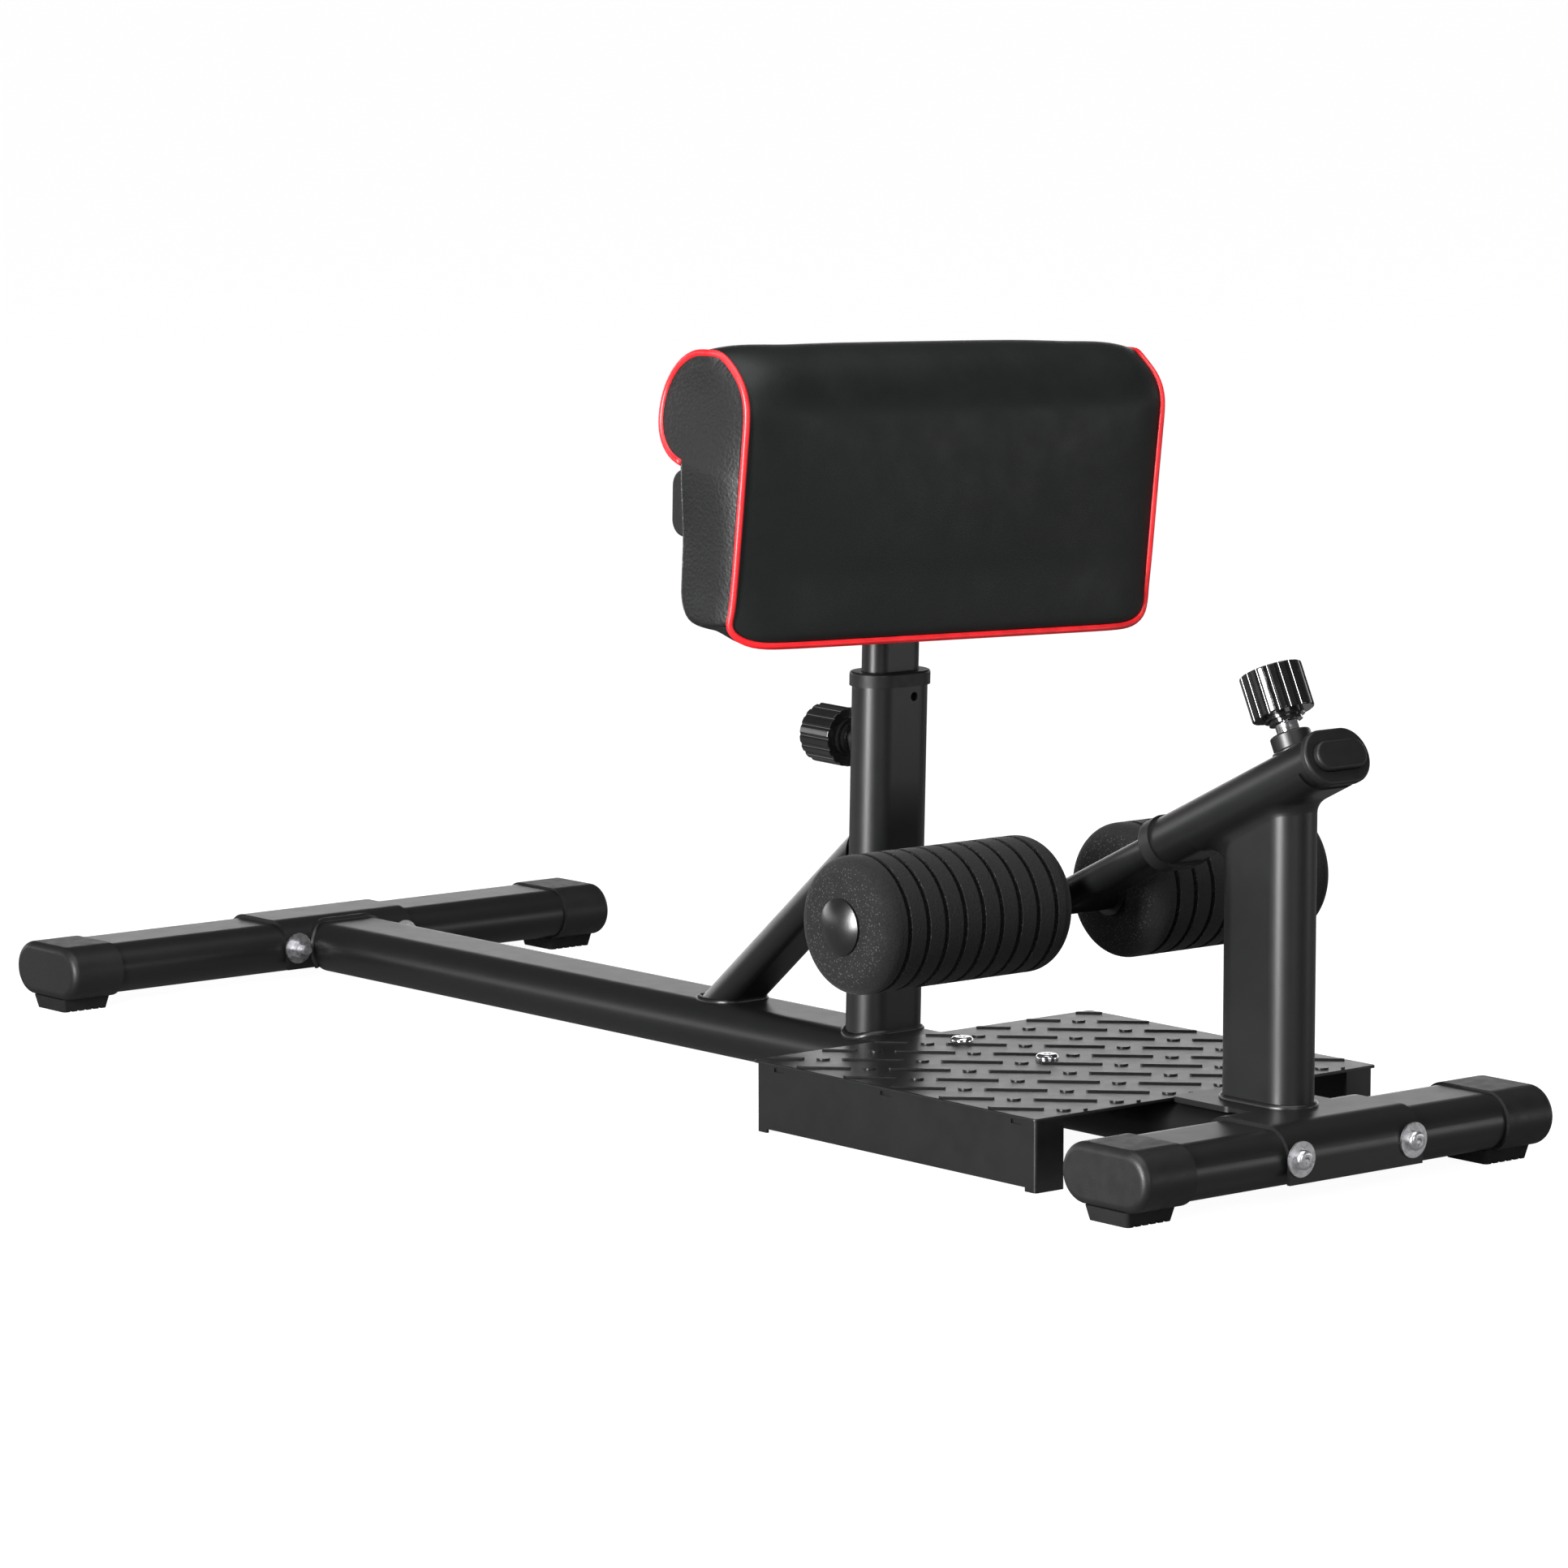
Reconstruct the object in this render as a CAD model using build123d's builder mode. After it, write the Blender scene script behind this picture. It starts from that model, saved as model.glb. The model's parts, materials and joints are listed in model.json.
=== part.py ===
from build123d import *
from math import cos, radians, sin
import os

# Sissy squat bench.  X is across the machine, +Y runs from the front stabiliser to the
# rear one, +Z is up and z = 0 is the floor.  The origin is midway between the stabilisers.

# ---- base frame -------------------------------------------------------------------------
HALF_TRACK = 585.0            # origin to the centre line of either stabiliser
STABILISER_Z = 32.0           # height of the stabiliser centre lines
BIG_TUBE = (80.0, 40.0)       # flat-oval tube of the base
BIG_WALL = 1.5
MAIN_TUBE_Z = 31.0            # centre height of the long tube
MAIN_TOP = MAIN_TUBE_Z + BIG_TUBE[1] / 2
MAIN_COPE = 25.0              # how far the long tube's ends stop short of the stabiliser axis

FRONT_HALF = 197.5            # half length over the front end caps
REAR_HALF = 272.5             # half length over the rear end caps
CAP_OVAL = (86.0, 43.0)
CAP_LENGTH = 47.0
CAP_END = 5.0
CAP_ROUND = 6.0
FOOT_INSET = 25.5             # foot centre to the outer end of its cap
FOOT_TOP = (46.0, 43.0)
FOOT_BOTTOM = (41.0, 39.0)
FOOT_HEIGHT = STABILISER_Z - CAP_OVAL[1] / 2
FOOT_GROOVES = 5
FOOT_GROOVE = (2.4, 1.6)
FOOT_CORNER = 3.0

SADDLE_HALF = 64.0            # half length of a saddle along X
SADDLE_SHEET = 3.0
SADDLE_BOTTOM = 16.0
SADDLE_TOP = STABILISER_Z + BIG_TUBE[1] / 2 + SADDLE_SHEET
SADDLE_OVAL = (BIG_TUBE[0] + 2 * SADDLE_SHEET, BIG_TUBE[1] + 2 * SADDLE_SHEET)
TONGUE_END = 102.0            # the front saddle's tongue runs this far over the long tube
TONGUE_WIDTH = 78.0
TONGUE_CORNER = 6.0

BOLT_X = 54.0
BOLT_Z = 33.5
BOLT_R = 4.0
BOLT_HOLE_R = 4.3
HEAD_R = 7.0
HEAD_HEIGHT = 5.0
HEAD_ROUND = 3.0
HEX_KEY_R = 2.6
THREAD_GAP = 0.1              # between a plain shank and the nut or boss on it
WASHER_R = 12.5
WASHER_SHEET = 1.5
NUT_FLATS = 13.0
NUT_HEIGHT = 6.5
BOLT_TAIL = 6.0               # thread that stands out of the nut

# ---- tread plate and its legs -----------------------------------------------------------
PLATE_X = 330.0
PLATE_FRONT = -482.0
PLATE_REAR = -178.0
PLATE_SHEET = 2.0
PLATE_TOP = MAIN_TOP + PLATE_SHEET
PLATE_CORNER = 3.0
PLATE_EDGE = 0.8
LEG_INSET = 2.0               # the legs stand this far inside the plate's edge
LEG_SHEET = 2.0
LEG_FLANGE = 26.0
LEG_BOTTOM = 3.5
LEG_TOE = 0.6                 # the corner toes end this far above the floor
LEG_TOE_LENGTH = 11.0
LEG_BEND = 2.5
SLOT_Y = (-130.0, 8.0, 125.0)     # tab slots along the top of each leg, from its middle
SLOT_SIZE = (11.0, 3.0)
SLOT_DEPTH = 1.2
RIB_PITCH_X = 50.0
RIB_PITCH_Y = 51.5
RIB_ROW_SHIFT = -8.0
RIB_LENGTH = 44.5
RIB_WIDTH = 2.4
RIB_HEIGHT = 1.1
RIB_ANGLE = -45.0
DOT_R = 5.0
DOT_HEIGHT = 1.0
RIB_MARGIN = 4.0
RIB_ROOT = 0.2                # ribs and studs start this far inside the plate
RIB_COUNT = 7
SCREW_Y = (-312.0, -219.0)
SCREW_HEAD_R = 8.4
SCREW_HEAD_HEIGHT = 3.8
SCREW_HEAD_ROUND = 3.0
SCREW_CROSS = (8.0, 1.6, 2.0)      # length, width and depth of the recess
SCREW_HOLE_GAP = 0.2
SCREW_HEAD_GAP = 0.6          # bare ring round each head, clear of ribs and studs
SCREW_R = 3.0
SCREW_LENGTH = 14.0

# ---- seat post and seat -----------------------------------------------------------------
SEAT_LEAN = 1.5               # the seat post leans this many degrees to the front
SEAT_FOOT_Y = -130.3          # where its axis meets the top of the long tube
POST_OVAL = (62.0, 37.0)
POST_WALL = 1.5
POST_LENGTH = 265.0
STOCK_OVAL = (48.0, 24.0)     # inner post, brace and pad bracket share one flat-oval tube
STOCK_WALL = 1.5
SLIDE_GAP = 0.35              # clearance round everything that slides
COLLAR_OVAL = (66.0, 41.0)
COLLAR_HEIGHT = 10.5
COLLAR_DROP = 6.0             # how far the collar's rim comes down outside the tube
COLLAR_LINER = 38.0
RIM_ROUND = 2.0               # rounding of every plastic rim
SEAT_PIN_S = 213.7            # height of the pull pin along the post
INNER_POST_BOTTOM = 85.0
HOLE_PITCH = 20.0
SEAT_HOLES_BELOW = 5
SEAT_HOLES_ABOVE = 1
PIN_HOLE_R = 4.6
GUIDE_LENGTH = 22.0
GUIDE_RIM = 8.0
SPARE_HOLE = (8.0, 251.0, 3.4)     # x, height along the post, radius

BRACE_FOOT_Y = 46.3           # brace axis at the top of the long tube
BRACE_HEAD = (-117.0, 186.0)  # brace axis at the back of the post, y and z

BRACKET_S = 404.5             # centre height of the pad bracket along the post
BRACKET_HALF = 196.0
BRACKET_CAP = 4.0
PLUG_LENGTH = 14.0            # how far a tube plug reaches into its tube
BOARD_THICKNESS = 12.0
BOARD_HALF = 180.0
BOARD_S = (340.0, 424.0)
PAD_HALF = 203.0
PAD_BACK = -STOCK_OVAL[1] / 2
ROLL_CENTRE = (-33.0, 466.0)  # centre of the pad's rolled top, rearward and along the post
ROLL_R = 48.5
ROLL_UNDER = (8.0, 441.0)     # a point on the underside of the rolled top
NOTCH_S = 430.0               # where the rolled top meets the flat back
PAD_BACK_BOTTOM = 337.0
PAD_HEEL = (-40.0, 309.0)     # where the rounded lower back edge meets the underside
PAD_HEEL_MID = (-20.2, 317.2)
PAD_TOE = (-65.0, 301.0)
PAD_TOE_MID = (-70.3, 302.6)
PAD_FRONT_BOTTOM = (-72.2, 307.5)
PAD_BOLT_X = 120.0
PAD_BOLT_HEAD_R = 8.0
PAD_BOLT_HEAD = 5.0

# ---- front post, sleeve and roller arm --------------------------------------------------
FRONT_POST_Y = -540.3
FRONT_POST_OVAL = (75.0, 38.0)
FRONT_POST_WALL = 1.5
POST_FLARE = 12.0             # radius of the flared joint under the cradle
ARM_SLOPE = 25.7              # the sleeve rises this many degrees towards the front
ROLLER_Y = -337.5
ROLLER_Z = 174.5
SLEEVE_OVAL = (56.0, 35.0)
SLEEVE_WALL = 1.5
SLEEVE_FROM = 124.0           # measured up the arm from the roller axis
SLEEVE_TO = 292.0
CRADLE_OVAL = (60.0, 39.0)
CRADLE_FROM = 158.0
CRADLE_TO = 284.0
CRADLE_LIP = -6.0             # height of the cradle's edges over the middle of the sleeve
ARM_OVAL = (46.0, 21.0)
ARM_WALL = 1.5
ARM_TOP = 298.0
ARM_PLUG = 4.0
ARM_PLUG_ROUND = 1.8
LOWER_BUSH_OVAL = (60.0, 39.0)
LOWER_BUSH_RIM = 12.0
UPPER_BUSH_OVAL = (60.0, 40.0)
UPPER_BUSH_RIM = 5.0
BUSH_LINER = 26.0
ARM_PIN_T = 259.0
ARM_HOLES = 5

BAR_R = 12.5
BAR_WALL = 1.5
BAR_HALF = 217.8
ROLLER_INNER = 37.5           # foam starts this far from the middle
ROLLER_LENGTH = 180.0
FOAM_R = 49.0
FOAM_ROUND = 14.0
FOAM_GROOVES = 9
GROOVE_PITCH = 17.1
GROOVE_WIDTH = 4.4
GROOVE_DEPTH = 4.5
CORE_R = 15.0
CORE_GAP = 0.09               # running fit of a roller core on the bar
DOME_R = 20.0
DOME_RIM = 1.8
DOME_RISE = 6.0
DOME_STEM_R = 10.2
DOME_STEM = 16.0
WASHER_ON_BAR_R = 17.0
WASHER_ON_BAR = 3.0
WASHER_END_PLAY = 0.5

# ---- pull pins, measured outwards from the centre of the tube that they lock -------------
BOSS_R = 14.5
BOSS_TOP = 30.0
BOSS_ROUND = 1.5
BARREL_R = 8.5
BARREL_FROM = 19.0
BARREL_TO = 37.2
BARREL_BORE_R = 6.5
BARREL_END = 2.8
PIN_R = 4.0
PIN_GAP = 0.4
PIN_FLANGE_R = 5.9
PIN_FLANGE = (19.6, 21.6)
PIN_END = 70.0
PIN_TIP = 0.8
SPRING_R = 5.1
SPRING_WIRE_R = 0.55
SPRING_TURNS = 4
KNOB_R = 22.3
KNOB_FROM = 44.0
KNOB_TO = 76.5
KNOB_HUB_R = 14.5
KNOB_HUB_FROM = 38.0
KNOB_BORE_GAP = 0.08
KNOB_FLUTES = 18
KNOB_FLUTE_R = 2.3
KNOB_FLUTE_SHARE = 0.45       # share of a flute's radius that lies outside the knob
KNOB_ROUND = 1.0
KNOB_DISH_R = 15.0
KNOB_DISH = 0.8
KNOB_STEP = 2.5               # how much narrower the end of the hub is
KNOB_END_GAP = 0.4

# ---- planes -----------------------------------------------------------------------------
SEAT = Plane(
    origin=(0, SEAT_FOOT_Y, MAIN_TOP),
    x_dir=(1, 0, 0),
    z_dir=(0, -sin(radians(SEAT_LEAN)), cos(radians(SEAT_LEAN))),
)
ARM = Plane(
    origin=(0, ROLLER_Y, ROLLER_Z),
    x_dir=(1, 0, 0),
    z_dir=(0, -cos(radians(ARM_SLOPE)), sin(radians(ARM_SLOPE))),
)
SEAT_SIDE = Plane(origin=SEAT.origin, x_dir=SEAT.y_dir, z_dir=(1, 0, 0))


def across(x, y, z):
    """Plane facing +X, with its own x along Y and its own y along Z."""
    return Plane(origin=(x, y, z), x_dir=(0, 1, 0), z_dir=(1, 0, 0))


def along(y, z):
    """Plane facing +Y, for tubes that run from front to rear."""
    return Plane(origin=(0, y, z), x_dir=(1, 0, 0), z_dir=(0, 1, 0))


def pin_plane(tube, height):
    """Plane on a tube's centre line whose normal is the way its pull pin comes out."""
    return Plane(origin=tube.from_local_coords((0, 0, height)), x_dir=(1, 0, 0), z_dir=tube.y_dir)


def save(part, label):
    part.label = label
    export_step(part, f"parts/{label}.step")


def oval_tube(plane, oval, wall, length):
    """Hollow flat-oval tube."""
    with BuildPart() as tube:
        with BuildSketch(plane):
            SlotOverall(*oval)
            SlotOverall(oval[0] - 2 * wall, oval[1] - 2 * wall, mode=Mode.SUBTRACT)
        extrude(amount=length)
    return tube.part


def filled_saddle(y):
    """The whole outer shape of a saddle, used to cope the long tube's end."""
    with BuildPart() as block:
        with BuildSketch(across(-SADDLE_HALF, y, STABILISER_Z)):
            SlotOverall(*SADDLE_OVAL)
            with Locations((0, -SADDLE_OVAL[1] / 4)):
                Rectangle(SADDLE_OVAL[0], SADDLE_OVAL[1] / 2)
        extrude(amount=2 * SADDLE_HALF)
    return block.part


# ---- base frame -------------------------------------------------------------------------
def make_main_tube():
    with BuildPart() as main_tube:
        start = -HALF_TRACK + MAIN_COPE
        add(oval_tube(along(start, MAIN_TUBE_Z), BIG_TUBE, BIG_WALL, -2 * start))
        for y in (-HALF_TRACK, HALF_TRACK):
            add(filled_saddle(y), mode=Mode.SUBTRACT)
        with Locations(*[(0, y, MAIN_TOP) for y in SCREW_Y]):
            Cylinder(SCREW_R + SCREW_HOLE_GAP, 4 * BIG_WALL, mode=Mode.SUBTRACT)
    return main_tube.part


def drill_bolt_holes(y):
    """Both bolt holes, right through whatever is being built at a stabiliser."""
    with Locations(*[Location((x, y, BOLT_Z), (90, 0, 0)) for x in (BOLT_X, -BOLT_X)]):
        Cylinder(BOLT_HOLE_R, 2 * BIG_TUBE[0], mode=Mode.SUBTRACT)


def make_saddle(y, with_tongue):
    """Sheet channel folded over a stabiliser, with two bolt holes through its sides."""
    depth = STABILISER_Z - SADDLE_BOTTOM
    with BuildPart() as saddle:
        with BuildSketch(across(-SADDLE_HALF, y, STABILISER_Z)):
            SlotOverall(*SADDLE_OVAL)
            with Locations((0, -depth / 2)):
                Rectangle(SADDLE_OVAL[0], depth)
            SlotOverall(*BIG_TUBE, mode=Mode.SUBTRACT)
            with Locations((0, -depth / 2)):
                Rectangle(BIG_TUBE[0], depth, mode=Mode.SUBTRACT)
            with Locations((0, -depth - SADDLE_OVAL[1] / 2)):
                Rectangle(2 * SADDLE_OVAL[0], SADDLE_OVAL[1], mode=Mode.SUBTRACT)
        extrude(amount=2 * SADDLE_HALF)
        drill_bolt_holes(y)
        if with_tongue:
            flat = BIG_TUBE[0] / 2 - BIG_TUBE[1] / 2
            side = SADDLE_OVAL[0] / 2
            with BuildSketch(Plane.XY.offset(SADDLE_TOP - SADDLE_SHEET)):
                with Locations((0, y + flat / 2 + side / 2)):
                    Rectangle(TONGUE_WIDTH, side - flat)
            extrude(amount=SADDLE_SHEET)
            with BuildSketch(Plane.XY.offset(MAIN_TOP)):
                with Locations((0, y + (side + TONGUE_END) / 2)):
                    RectangleRounded(TONGUE_WIDTH, TONGUE_END - side, TONGUE_CORNER)
            extrude(amount=SADDLE_TOP - MAIN_TOP)
    return saddle.part


def make_stabiliser(y, half_length):
    tube_half = half_length - CAP_END
    with BuildPart() as stabiliser:
        add(oval_tube(across(-tube_half, y, STABILISER_Z), BIG_TUBE, BIG_WALL, 2 * tube_half))
        drill_bolt_holes(y)
    return stabiliser.part


def make_end_cap(side, y, half_length):
    """Moulded cap that slips over a stabiliser end; its outer rim is rounded."""
    with BuildPart() as cap:
        with BuildSketch(across(half_length - CAP_LENGTH, y, STABILISER_Z)):
            SlotOverall(*CAP_OVAL)
        extrude(amount=CAP_LENGTH)
        fillet(cap.faces().sort_by(Axis.X)[-1].edges(), CAP_ROUND)
        with BuildSketch(across(half_length - CAP_LENGTH, y, STABILISER_Z)):
            SlotOverall(*BIG_TUBE)
        extrude(amount=CAP_LENGTH - CAP_END, mode=Mode.SUBTRACT)
        if side < 0:
            mirror(about=Plane.YZ, mode=Mode.REPLACE)
    return cap.part


def make_foot(side, y, half_length):
    """Rubber block, wider at the top, with grooves across its sole."""
    x = side * (half_length - FOOT_INSET)
    with BuildPart() as foot:
        with BuildSketch(Plane.XY):
            with Locations((x, y)):
                RectangleRounded(*FOOT_BOTTOM, FOOT_CORNER)
        with BuildSketch(Plane.XY.offset(FOOT_HEIGHT)):
            with Locations((x, y)):
                RectangleRounded(*FOOT_TOP, FOOT_CORNER)
        loft()
        pitch = FOOT_BOTTOM[0] / (FOOT_GROOVES + 1)
        with Locations((x, y, FOOT_GROOVE[1] / 2)):
            with GridLocations(pitch, 1, FOOT_GROOVES, 1):
                Box(FOOT_GROOVE[0], 2 * FOOT_TOP[1], FOOT_GROOVE[1], mode=Mode.SUBTRACT)
    return foot.part


def outward(y, distance):
    """Plane at a distance outside a stabiliser's outer face, facing away from the machine."""
    way = 1 if y > 0 else -1
    return Plane(origin=(0, y + way * distance, BOLT_Z), x_dir=(1, 0, 0), z_dir=(0, way, 0))


def bolt_places():
    return Locations((BOLT_X, 0), (-BOLT_X, 0))


def make_bolts(y):
    """Two button-head bolts through a saddle, heads on the outer side."""
    half = SADDLE_OVAL[0] / 2
    with BuildPart() as bolts:
        with BuildSketch(outward(y, half + WASHER_SHEET)):
            with bolt_places():
                Circle(HEAD_R)
        extrude(amount=HEAD_HEIGHT)
        outer_faces = bolts.faces().filter_by(Axis.Y).sort_by(lambda face: abs(face.center().Y))[-2:]
        fillet(outer_faces.edges(), HEAD_ROUND)
        with BuildSketch(outward(y, half + WASHER_SHEET + HEAD_HEIGHT)):
            with bolt_places():
                RegularPolygon(HEX_KEY_R, 6)
        extrude(amount=-HEX_KEY_R, mode=Mode.SUBTRACT)
        with BuildSketch(outward(y, half + WASHER_SHEET)):
            with bolt_places():
                Circle(BOLT_R)
        extrude(amount=-(2 * half + 2 * WASHER_SHEET + NUT_HEIGHT + BOLT_TAIL))
    return bolts.part


def make_washers(y):
    half = SADDLE_OVAL[0] / 2
    with BuildPart() as washers:
        for distance in (half, -half - WASHER_SHEET):
            with BuildSketch(outward(y, distance)):
                with bolt_places():
                    Circle(WASHER_R)
                    Circle(BOLT_HOLE_R, mode=Mode.SUBTRACT)
            extrude(amount=WASHER_SHEET)
    return washers.part


def make_nuts(y):
    half = SADDLE_OVAL[0] / 2
    with BuildPart() as nuts:
        with BuildSketch(outward(y, -half - WASHER_SHEET)):
            with bolt_places():
                RegularPolygon(NUT_FLATS / 2, 6, major_radius=False)
                Circle(BOLT_R + THREAD_GAP, mode=Mode.SUBTRACT)
        extrude(amount=-NUT_HEIGHT)
    return nuts.part


# ---- tread plate ------------------------------------------------------------------------
PLATE_MID_Y = (PLATE_FRONT + PLATE_REAR) / 2
PLATE_Y = PLATE_REAR - PLATE_FRONT


def make_tread_plate():
    """Flat plate whose diagonal ribs and round studs stand up from its top face."""
    with BuildPart() as plate:
        with BuildSketch(Plane.XY.offset(MAIN_TOP)):
            with Locations((0, PLATE_MID_Y)):
                RectangleRounded(PLATE_X, PLATE_Y, PLATE_CORNER)
        extrude(amount=PLATE_SHEET)
        fillet(plate.faces().sort_by(Axis.Z)[-1].edges(), PLATE_EDGE)
        with BuildSketch(Plane.XY.offset(PLATE_TOP - RIB_ROOT)):
            with Locations((0, PLATE_MID_Y + RIB_ROW_SHIFT)):
                with GridLocations(RIB_PITCH_X, RIB_PITCH_Y, RIB_COUNT, RIB_COUNT):
                    SlotOverall(RIB_LENGTH, RIB_WIDTH, rotation=RIB_ANGLE)
            with Locations((0, PLATE_MID_Y)):
                Rectangle(PLATE_X - 2 * RIB_MARGIN, PLATE_Y - 2 * RIB_MARGIN, mode=Mode.INTERSECT)
        extrude(amount=RIB_HEIGHT + RIB_ROOT)
        with BuildSketch(Plane.XY.offset(PLATE_TOP - RIB_ROOT)):
            with Locations((0, PLATE_MID_Y + RIB_ROW_SHIFT)):
                with GridLocations(RIB_PITCH_X, RIB_PITCH_Y, RIB_COUNT - 1, RIB_COUNT - 1):
                    Circle(DOT_R)
        extrude(amount=DOT_HEIGHT + RIB_ROOT)
        with Locations(*[(0, y, PLATE_TOP) for y in SCREW_Y]):
            Cylinder(SCREW_HEAD_R + SCREW_HEAD_GAP, 4 * RIB_HEIGHT, align=(Align.CENTER, Align.CENTER, Align.MIN),
                     mode=Mode.SUBTRACT)
            Cylinder(SCREW_R + SCREW_HOLE_GAP, 4 * PLATE_SHEET, mode=Mode.SUBTRACT)
    return plate.part


def leg_outline(length):
    """Side and end flanges of a leg seen from above: a channel open towards the long tube."""
    side_x = PLATE_X / 2 - LEG_INSET
    with Locations((side_x - LEG_FLANGE, 0)):
        RectangleRounded(2 * LEG_FLANGE, length, LEG_BEND)
    with Locations((side_x - LEG_SHEET - LEG_FLANGE, 0)):
        Rectangle(2 * LEG_FLANGE, length - 2 * LEG_SHEET, mode=Mode.SUBTRACT)
    with Locations((side_x - 2 * LEG_FLANGE, 0)):
        Rectangle(2 * LEG_FLANGE, 2 * length, mode=Mode.SUBTRACT)


def make_platform_leg(side):
    """Bent sheet under one edge of the plate, standing on a short toe at each corner."""
    length = PLATE_Y - 2 * LEG_INSET
    side_x = PLATE_X / 2 - LEG_INSET
    with BuildPart() as leg:
        with BuildSketch(Plane.XY.offset(LEG_BOTTOM)):
            leg_outline(length)
        extrude(amount=MAIN_TOP - LEG_BOTTOM)
        with BuildSketch(Plane.XY.offset(LEG_TOE)):
            leg_outline(length)
            Rectangle(4 * PLATE_X, length - 2 * LEG_TOE_LENGTH, mode=Mode.SUBTRACT)
        extrude(amount=LEG_BOTTOM - LEG_TOE)
        with Locations(*[(side_x, y, MAIN_TOP - SLOT_SIZE[1]) for y in SLOT_Y]):
            Box(2 * SLOT_DEPTH, SLOT_SIZE[0], SLOT_SIZE[1], mode=Mode.SUBTRACT)
        if side < 0:
            mirror(about=Plane.YZ, mode=Mode.REPLACE)
    return leg.part.moved(Location((0, PLATE_MID_Y, 0)))


def make_platform_screws():
    """Pan-head screws with a cross recess, down into the long tube."""
    with BuildPart() as screws:
        with BuildSketch(Plane.XY.offset(PLATE_TOP)):
            with Locations(*[(0, y) for y in SCREW_Y]):
                Circle(SCREW_HEAD_R)
        extrude(amount=SCREW_HEAD_HEIGHT)
        fillet(screws.faces().sort_by(Axis.Z)[-2:].edges(), SCREW_HEAD_ROUND)
        with BuildSketch(Plane.XY.offset(PLATE_TOP + SCREW_HEAD_HEIGHT)):
            with Locations(*[(0, y) for y in SCREW_Y]):
                Rectangle(SCREW_CROSS[0], SCREW_CROSS[1])
                Rectangle(SCREW_CROSS[1], SCREW_CROSS[0])
        extrude(amount=-SCREW_CROSS[2], mode=Mode.SUBTRACT)
        with BuildSketch(Plane.XY.offset(PLATE_TOP)):
            with Locations(*[(0, y) for y in SCREW_Y]):
                Circle(SCREW_R)
        extrude(amount=-SCREW_LENGTH)
    return screws.part


# ---- seat post --------------------------------------------------------------------------
def make_seat_post_tube():
    with BuildPart() as post:
        spare = POST_OVAL[1]
        add(oval_tube(SEAT.offset(-spare), POST_OVAL, POST_WALL, POST_LENGTH + spare))
        split(bisect_by=Plane.XY.offset(MAIN_TOP), keep=Keep.TOP)
        with BuildSketch(pin_plane(SEAT, SEAT_PIN_S)):
            Circle(PIN_HOLE_R)
        extrude(amount=POST_OVAL[1], mode=Mode.SUBTRACT)
        with BuildSketch(pin_plane(SEAT, SPARE_HOLE[1])):
            with Locations((SPARE_HOLE[0], 0)):
                Circle(SPARE_HOLE[2])
        extrude(amount=-POST_OVAL[1], mode=Mode.SUBTRACT)
    return post.part


def make_seat_post_brace():
    rise = BRACE_HEAD[1] - MAIN_TOP
    run = BRACE_FOOT_Y - BRACE_HEAD[0]
    length = (rise * rise + run * run) ** 0.5
    axis = Plane(origin=(0, BRACE_FOOT_Y, MAIN_TOP), x_dir=(1, 0, 0), z_dir=(0, -run, rise))
    behind_post = Plane(
        origin=SEAT.from_local_coords((0, POST_OVAL[1] / 2, 0)), x_dir=(1, 0, 0), z_dir=SEAT.y_dir
    )
    spare = 2 * STOCK_OVAL[1]
    with BuildPart() as brace:
        add(oval_tube(axis.offset(-spare), STOCK_OVAL, STOCK_WALL, length + 2 * spare))
        split(bisect_by=Plane.XY.offset(MAIN_TOP), keep=Keep.TOP)
        split(bisect_by=behind_post, keep=Keep.TOP)
    return brace.part


def make_seat_post_collar():
    """Plastic bush in the mouth of the outer post: a rim outside and a liner inside."""
    liner = (POST_OVAL[0] - 2 * POST_WALL, POST_OVAL[1] - 2 * POST_WALL)
    with BuildPart() as collar:
        with BuildSketch(SEAT.offset(POST_LENGTH - COLLAR_DROP)):
            SlotOverall(*COLLAR_OVAL)
        extrude(amount=COLLAR_HEIGHT)
        fillet(collar.faces().sort_by(Axis.Z)[-1].edges(), RIM_ROUND)
        with BuildSketch(SEAT.offset(POST_LENGTH - COLLAR_DROP)):
            SlotOverall(*POST_OVAL)
        extrude(amount=COLLAR_DROP, mode=Mode.SUBTRACT)
        with BuildSketch(SEAT.offset(POST_LENGTH - COLLAR_LINER)):
            SlotOverall(*liner)
        extrude(amount=COLLAR_LINER + 1)
        with BuildSketch(SEAT.offset(POST_LENGTH - COLLAR_LINER - 1)):
            SlotOverall(STOCK_OVAL[0] + 2 * SLIDE_GAP, STOCK_OVAL[1] + 2 * SLIDE_GAP)
        extrude(amount=COLLAR_LINER + 2 * COLLAR_HEIGHT, mode=Mode.SUBTRACT)
        with BuildSketch(pin_plane(SEAT, SPARE_HOLE[1])):
            with Locations((SPARE_HOLE[0], 0)):
                Circle(SPARE_HOLE[2])
        extrude(amount=-POST_OVAL[1], mode=Mode.SUBTRACT)
    return collar.part


# ---- seat -------------------------------------------------------------------------------
def make_inner_seat_post():
    """Inner post with a row of pin holes down its back."""
    top = BRACKET_S - STOCK_OVAL[0] / 2
    with BuildPart() as inner_post:
        add(oval_tube(SEAT.offset(INNER_POST_BOTTOM), STOCK_OVAL, STOCK_WALL, top - INNER_POST_BOTTOM))
        for step in range(-SEAT_HOLES_BELOW, SEAT_HOLES_ABOVE + 1):
            with BuildSketch(pin_plane(SEAT, SEAT_PIN_S + step * HOLE_PITCH)):
                Circle(PIN_HOLE_R)
            extrude(amount=STOCK_OVAL[1], mode=Mode.SUBTRACT)
    return inner_post.part


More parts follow.
